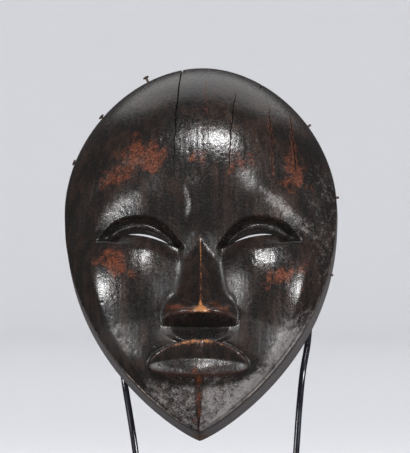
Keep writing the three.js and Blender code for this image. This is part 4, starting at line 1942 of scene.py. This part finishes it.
    def cut(self, piece: Object, cutters: list[Object]) -> None:
        """Cut solids out of the piece and keep the result as its mesh.

        Args:
            piece: The carved piece.
            cutters: The solids, which are removed afterwards.
        """
        for cutter in cutters:
            modifier = piece.modifiers.new(cutter.name, "BOOLEAN")
            modifier.operation = "DIFFERENCE"
            modifier.solver = "MANIFOLD"
            modifier.object = cutter
        graph = bpy.context.evaluated_depsgraph_get()
        cut_mesh = bpy.data.meshes.new_from_object(piece.evaluated_get(graph))
        piece.modifiers.clear()
        piece.data = cut_mesh
        for cutter in cutters:
            bpy.data.objects.remove(cutter)

    def build(self) -> Object:
        """Build the finished mask.

        Returns:
            The piece.
        """
        piece = self.blank()
        self.carve(piece.data)
        set_outward(piece.data)
        cutters = [make(side) for side in Side for make in (self.slit_cutter, self.nostril_cutter)]
        cutters += [crack.cutter() for crack in CRACKS]
        self.cut(piece, cutters)
        set_smooth(piece.data, self.sharp_degrees)
        self.wear.paint(piece.data)
        return finish_piece(piece, Patina().build(self.groups), ("mask",))


@dataclass(frozen=True)
class StandFoot:
    """The foot: a flat steel block with round corners and soft edges, in millimetres."""

    corner: float = 4.0
    bevel: float = 1.0
    steps: int = 5
    sharp_degrees: float = 30.0
    paint: BlackPaint = BlackPaint("satin_black_foot", rgb(0.012, 0.012, 0.013), 0.38, 55.0)

    def build(self, groups: Groups) -> Object:
        """The finished foot, to the size of its CAD node.

        Args:
            groups: The shared node groups.

        Returns:
            The piece.
        """
        low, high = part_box("stand_base")
        size = high - low
        shape = bmesh.new()
        bmesh.ops.create_cube(shape, size=1.0)
        bmesh.ops.scale(shape, verts=shape.verts, vec=size)
        bmesh.ops.translate(shape, verts=shape.verts, vec=(low + high) / 2)
        upright = [e for e in shape.edges if self.rise(e) > size.z / 2]
        soften(shape, upright, self.corner, self.steps)
        level = [e for e in shape.edges if self.rise(e) < size.z / 2]
        soften(shape, level, self.bevel, self.steps)
        piece = mesh_object("stand_foot", shape)
        set_smooth(piece.data, self.sharp_degrees)
        return finish_piece(piece, self.paint.build(groups), ("stand_base",))

    def rise(self, edge: BMEdge) -> float:
        """How much higher one end of an edge is than the other."""
        return abs(edge.verts[0].co.z - edge.verts[1].co.z)


# Height of the left rod's first bend on the mask, which sets the plane of both rods' lower runs
LEFT_FIRST_BEND = 0.173


@dataclass(frozen=True)
class StandRod:
    """One bent steel rod, from its seat in the foot to its hook in the hollow.

    Its run below the mask and its bends behind it are shares across and up on the mask; the
    hook's places are shares of the half width, depth and length; other lengths are millimetres.
    """

    side: Side
    run: Pairs
    bends: Pairs
    diameter: float = 4.0
    seat: float = 8.0
    clearance: float = 0.3
    rim_gap: float = 0.6
    hang_gap: float = 0.5
    foot_spacing: float = 95.0
    base_thickness: float = 12.0
    chin_clearance: float = 60.0
    upright_shares: Triple = (0.0, 0.1, 0.3)
    hook_across: float = 0.51
    hook_reach: float = 0.444
    hook_rise: float = 0.092
    hook_bends: tuple[Triple, ...] = ((1.07, 0.3, 1.0), (1.02, 0.75, 0.45), (1.0, 1.0, 0.0))
    end_bevel: float = 0.3
    end_steps: int = 2
    sides: int = 20
    steps: int = 150
    ceiling_steps: int = 4001
    sharp_degrees: float = 40.0

    def ceiling(self, x: float, depth: float) -> float:
        """Height at which the hollow's ceiling comes down to a depth.

        Args:
            x: How far across, in millimetres.
            depth: The depth, in millimetres.

        Returns:
            The height on the mask.
        """
        top = FORM.length - FORM.rim_width
        z = np.linspace(FORM.widest_height, top, self.ceiling_steps)[:-1]
        along = (z - FORM.widest_height) / (top - FORM.widest_height)
        half = (FORM.half_width - FORM.rim_width) * FORM.crown_outline(along)
        hollow = FORM.hollow_depth(np.clip(x / half, 0, 1), along, z)
        return float(z[hollow > depth].max())

    def on_mask(self, across: float, depth: float, z: float) -> Values:
        """A place on the mask as metres, from a share across, a depth and a height."""
        x = self.side.value * across * FORM.half_width
        return PLACE.to_world(np.array(x), np.array(depth), np.array(z))

    def points(self) -> Values:
        """The bend points of the rod's centre line.

        Returns:
            Rows of metres.
        """
        radius = self.diameter / 2
        behind = -(radius + self.rim_gap)
        sign = self.side.value
        upright = self.on_mask(0.0, behind, LEFT_FIRST_BEND * FORM.length)[1]
        heights = [self.base_thickness - self.seat + self.clearance]
        heights += [self.base_thickness + share * self.chin_clearance for share in self.upright_shares]
        below = [(sign * self.foot_spacing / 2, z) for z in heights]
        for across, up in self.run:
            x = PLACE.side_shift + sign * across * FORM.half_width
            below.append((x, PLACE.chin_height + up * FORM.length))
        below = [np.array([x * MM, upright, z * MM]) for x, z in below]
        along = [self.on_mask(across, behind, up * FORM.length) for across, up in self.bends]
        reach = self.hook_reach * FORM.forehead_depth
        inner = self.hook_across * FORM.half_width + radius
        tip = self.ceiling(inner, reach + radius) - radius - self.hang_gap
        rise = self.hook_rise * FORM.length
        hook = [
            self.on_mask(self.hook_across * across, reach * depth, tip - rise * under)
            for across, depth, under in self.hook_bends
        ]
        return np.array(below + along + hook)

    def centre_line(self) -> Values:
        """A smooth line through the bend points, by centripetal Catmull-Rom spans.

        Returns:
            Rows of metres.
        """
        points = self.points()
        points = np.vstack([2 * points[0] - points[1], points, 2 * points[-1] - points[-2]])
        line = []
        count = len(points) - 3
        for k in range(self.steps + 1):
            place = min(k / self.steps * count, count - 1e-9)
            i = int(place)
            p = points[i:i + 4]
            t0, t1, t2 = np.maximum(np.linalg.norm(np.diff(p, axis=0), axis=1) ** 0.5, TINY)
            start = (p[1] - p[0]) / t0 - (p[2] - p[0]) / (t0 + t1) + (p[2] - p[1]) / t1
            end = (p[2] - p[1]) / t1 - (p[3] - p[1]) / (t1 + t2) + (p[3] - p[2]) / t2
            line.append(hermite(place - i, p[1], p[2], start * t1, end * t1))
        return np.array(line)

    def swept(self, line: Values) -> BMesh:
        """Carry a ring along the centre line, turned with it, and close both ends.

        Args:
            line: The centre line as rows of metres.

        Returns:
            The rod's body.
        """
        shape = bmesh.new()
        ring = bmesh.ops.create_circle(
            shape, cap_ends=True, segments=self.sides, radius=self.diameter / 2 * MM,
        )["verts"]
        first = Vector(line[1] - line[0])
        turn = first.to_track_quat("Z", "Y").to_matrix().to_4x4()
        bmesh.ops.transform(shape, verts=ring, matrix=Matrix.Translation(Vector(line[0])) @ turn)
        edges = list(shape.edges)
        heading = first.normalized()
        following = list(line[2:]) + [2 * line[-1] - line[-2]]
        for before, here, after in zip(line[:-1], line[1:], following):
            made = bmesh.ops.extrude_edge_only(shape, edges=edges)
            verts = set(made_verts(made))
            edges = [g for g in made["geom"] if isinstance(g, BMEdge) and verts.issuperset(g.verts)]
            ahead = Vector(after - before).normalized()
            swing = heading.rotation_difference(ahead).to_matrix().to_4x4()
            move = Matrix.Translation(Vector(here)) @ swing @ Matrix.Translation(-Vector(before))
            bmesh.ops.transform(shape, verts=made_verts(made), matrix=move)
            heading = ahead
        bmesh.ops.contextual_create(shape, geom=edges)
        return shape

    def build(self, material: Material) -> Object:
        """The finished rod.

        Args:
            material: Its paint.

        Returns:
            The piece.
        """
        shape = self.swept(self.centre_line())
        ends = [f for f in shape.faces if len(f.verts) == self.sides]
        rim = [e for e in shape.edges if len(e.link_faces) == 2 and any(f in ends for f in e.link_faces)]
        soften(shape, rim, self.end_bevel, self.end_steps)
        bmesh.ops.recalc_face_normals(shape, faces=shape.faces)
        name = f"rod_{self.side.name.lower()}"
        piece = mesh_object(name, shape)
        set_smooth(piece.data, self.sharp_degrees)
        return finish_piece(piece, material, (f"stand_{name}",))


RODS = (
    StandRod(
        Side.LEFT,
        run=((0.477, -0.033), (0.519, 0.067)),
        bends=((0.563, LEFT_FIRST_BEND), (0.616, 0.313), (0.663, 0.479), (0.616, 0.625)),
    ),
    StandRod(
        Side.RIGHT,
        run=((0.7, -0.033), (0.721, 0.075), (0.749, 0.179)),
        bends=((0.786, 0.277), (0.791, 0.354), (0.721, 0.492), (0.628, 0.625)),
    ),
)


@dataclass(frozen=True)
class RimNail:
    """One forged nail in the mask's edge, in millimetres but for its height, a share."""

    name: str
    side: Side
    up: float
    stand_off: float
    headed: bool
    bend: float
    shank: float = 1.6
    head: float = 4.0
    head_thickness: float = 0.9
    driven: float = 6.0
    sides: int = 18
    hammered: float = 0.15
    hammer_marks: float = 0.55
    curve: float = 0.04
    sharp_degrees: float = 50.0

    def place(self) -> Matrix:
        """Where the nail stands: its +Z points straight out of the edge.

        Returns:
            The matrix that carries it there.
        """
        z = self.up * FORM.length
        step = 0.5
        above, below = FORM.half_width_at(np.array([z + step, z - step]))
        out = Vector((self.side.value * 2 * step, 0.0, below - above)).normalized()
        x = self.side.value * FORM.half_width_at(np.array(z))
        foot = PLACE.to_world(x, FORM.edge_depth(np.array(z)) / 2, np.array(z))
        lean = Matrix.Rotation(-math.radians(PLACE.lean_degrees), 3, "X")
        turn = (lean @ out).to_track_quat("Z", "Y").to_matrix().to_4x4()
        return Matrix.Translation(Vector(foot)) @ turn

    def profile(self) -> Pairs:
        """The nail's half section from its point to its top.

        Returns:
            Pairs of radius and height.
        """
        shank, head, off = self.shank / 2, self.head / 2, self.stand_off
        top = off + self.head_thickness
        stub = (
            (0.0, -self.driven), (shank * 0.6, -self.driven * 0.8), (shank, -self.driven / 2),
            (shank, 0.0), (shank * 0.94, off * 0.6), (shank, off - 0.25),
        )
        broken = ((shank * 0.8, off + 0.15), (shank * 0.4, off + 0.3), (0.0, off + 0.3))
        flat_head = (
            (head * 0.92, off + 0.02), (head, off + 0.25), (head * 0.97, top - 0.3),
            (head * 0.75, top - 0.08), (head * 0.35, top), (0.0, top),
        )
        return stub + (flat_head if self.headed else broken)

    def build(self, material: Material) -> Object:
        """The finished nail, hammered a little uneven and bent.

        Args:
            material: Its iron.

        Returns:
            The piece.
        """
        shape = turned_body(self.profile(), self.sides, MM)
        seed = Vector((self.up * 40, 0, 0))
        for vert in shape.verts:
            dent = noise.noise_vector(vert.co * self.hammer_marks + seed) * self.hammered
            above = max(vert.co.z, 0.0)
            vert.co += dent * min(above, 1.0) + Vector((self.bend * above**2 * self.curve, 0.0, 0.0))
        bmesh.ops.scale(shape, verts=shape.verts, vec=(MM, MM, MM))
        bmesh.ops.transform(shape, verts=shape.verts, matrix=self.place())
        bmesh.ops.recalc_face_normals(shape, faces=shape.faces)
        piece = mesh_object(f"nail_{self.name}", shape)
        set_smooth(piece.data, self.sharp_degrees)
        return finish_piece(piece, material, (f"rim_nail_{self.name}",))


NAILS = (
    RimNail("left_top", Side.LEFT, 0.9625, 5.2, True, -0.3),
    RimNail("left_middle", Side.LEFT, 0.867, 2.6, True, 0.5),
    RimNail("left_low", Side.LEFT, 0.745, 1.6, True, 0.4),
    RimNail("right_top", Side.RIGHT, 0.845, 3.0, False, 0.8),
    RimNail("right_middle", Side.RIGHT, 0.65, 1.45, False, 0.3),
    RimNail("right_low", Side.RIGHT, 0.436, 1.6, False, 0.3),
)


@dataclass(frozen=True)
class SoftLight:
    """A softbox round the mask: where it stands, how big and how strong it is."""

    azimuth: float
    elevation: float
    distance: float
    width: float
    height: float
    power: float

    def build(self, target: Triple) -> None:
        """Hang the light and turn it to the target.

        Args:
            target: What it lights.
        """
        data = bpy.data.lights.new("softbox", "AREA")
        data.shape = "RECTANGLE"
        data.size, data.size_y = self.width, self.height
        data.energy = self.power
        light = link("softbox", data)
        stand_off(light, self.azimuth, self.elevation, self.distance, target)
        light.visible_camera = False


@dataclass(frozen=True)
class Studio:
    """A pale seamless room, soft light and the camera."""

    picture_height: float = 0.2852
    camera_distance: float = 6.0
    camera_azimuth: float = 2.0
    sensor: float = 36.0
    sees_to: float = 50.0
    target: Triple = (-0.0063, 0.0, 0.2073)
    room_radius: float = 14.0
    room_height: float = 9.0
    room_sides: int = 64
    sweep: float = 2.0
    sweep_steps: int = 12
    wall: Colour = rgb(0.7, 0.7, 0.71)
    wall_values: tuple[tuple[str, float], ...] = (("Roughness", 0.9), ("Specular IOR Level", 0.1))
    sky: Colour = rgb(0.96, 0.97, 1.0)
    sky_strength: float = 1.33
    mirrored_strength: float = 0.08
    lights: tuple[SoftLight, ...] = (
        SoftLight(8.0, 38.0, 1.3, 0.26, 0.22, 11.0),
        SoftLight(51.0, 1.0, 1.3, 0.42, 0.2, 13.0),
        SoftLight(-47.0, 1.0, 1.3, 0.42, 0.2, 12.0),
        SoftLight(180.0, 62.0, 2.0, 2.8, 1.8, 22.0),
    )

    def room(self) -> None:
        """A floor that sweeps up into a round wall."""
        flat = self.room_radius - self.sweep
        angles = [k / self.sweep_steps * math.pi / 2 for k in range(1, self.sweep_steps + 1)]
        curve = [
            (self.room_radius - self.sweep * (1 - math.sin(a)), self.sweep * (1 - math.cos(a)))
            for a in angles
        ]
        outline = [(0.0, 0.0), (flat, 0.0), *curve, (self.room_radius, self.room_height)]
        shape = turned_body(outline, self.room_sides, 1e-5)
        bmesh.ops.recalc_face_normals(shape, faces=shape.faces)
        piece = mesh_object("studio_sweep", shape)
        set_smooth(piece.data, 60.0)
        material, sheet, shader = new_material("pale_paper")
        for name, value in (("Base Color", self.wall), *self.wall_values):
            sheet.feed(shader.inputs[name], value)
        piece.data.materials.append(material)
        piece.visible_glossy = False

    def world(self) -> None:
        """Even light from all round, which gloss mirrors as a dim room."""
        world = bpy.data.worlds.new("studio")
        world.use_nodes = True
        background = world.node_tree.nodes["Background"]
        background.inputs["Color"].default_value = self.sky
        sheet = NodeSheet(world.node_tree)
        mirrored = sheet.add("ShaderNodeLightPath").outputs["Is Glossy Ray"]
        change = sheet.calculate("MULTIPLY", mirrored, self.mirrored_strength - self.sky_strength)
        sheet.feed(background.inputs["Strength"], sheet.calculate("ADD", change, self.sky_strength))
        bpy.context.scene.world = world

    def camera(self) -> None:
        """The long lens that the picture was taken with."""
        data = bpy.data.cameras.new("camera")
        data.sensor_width = self.sensor
        data.lens = self.sensor * self.camera_distance / self.picture_height
        data.clip_end = self.sees_to
        camera = link("camera", data)
        stand_off(camera, self.camera_azimuth, 0.0, self.camera_distance, self.target)
        bpy.context.scene.camera = camera

    def build(self) -> None:
        """Set the whole studio up."""
        self.room()
        self.world()
        self.camera()
        for light in self.lights:
            light.build(self.target)
        bpy.context.scene.view_settings.view_transform = "Standard"


def main() -> None:
    """Build the mask, its nails, its stand and the studio."""
    logging.basicConfig(level=logging.INFO, format="%(name)s %(message)s")
    mask = CarvedMask()
    mask.build()
    iron = OldIron().build(mask.groups)
    for nail in NAILS:
        nail.build(iron)
    gloss = BlackPaint("gloss_black_rods", rgb(0.006, 0.0055, 0.009), 0.16, 90.0).build(mask.groups)
    for rod in RODS:
        rod.build(gloss)
    StandFoot().build(mask.groups)
    Studio().build()


if __name__ == "__main__":
    main()
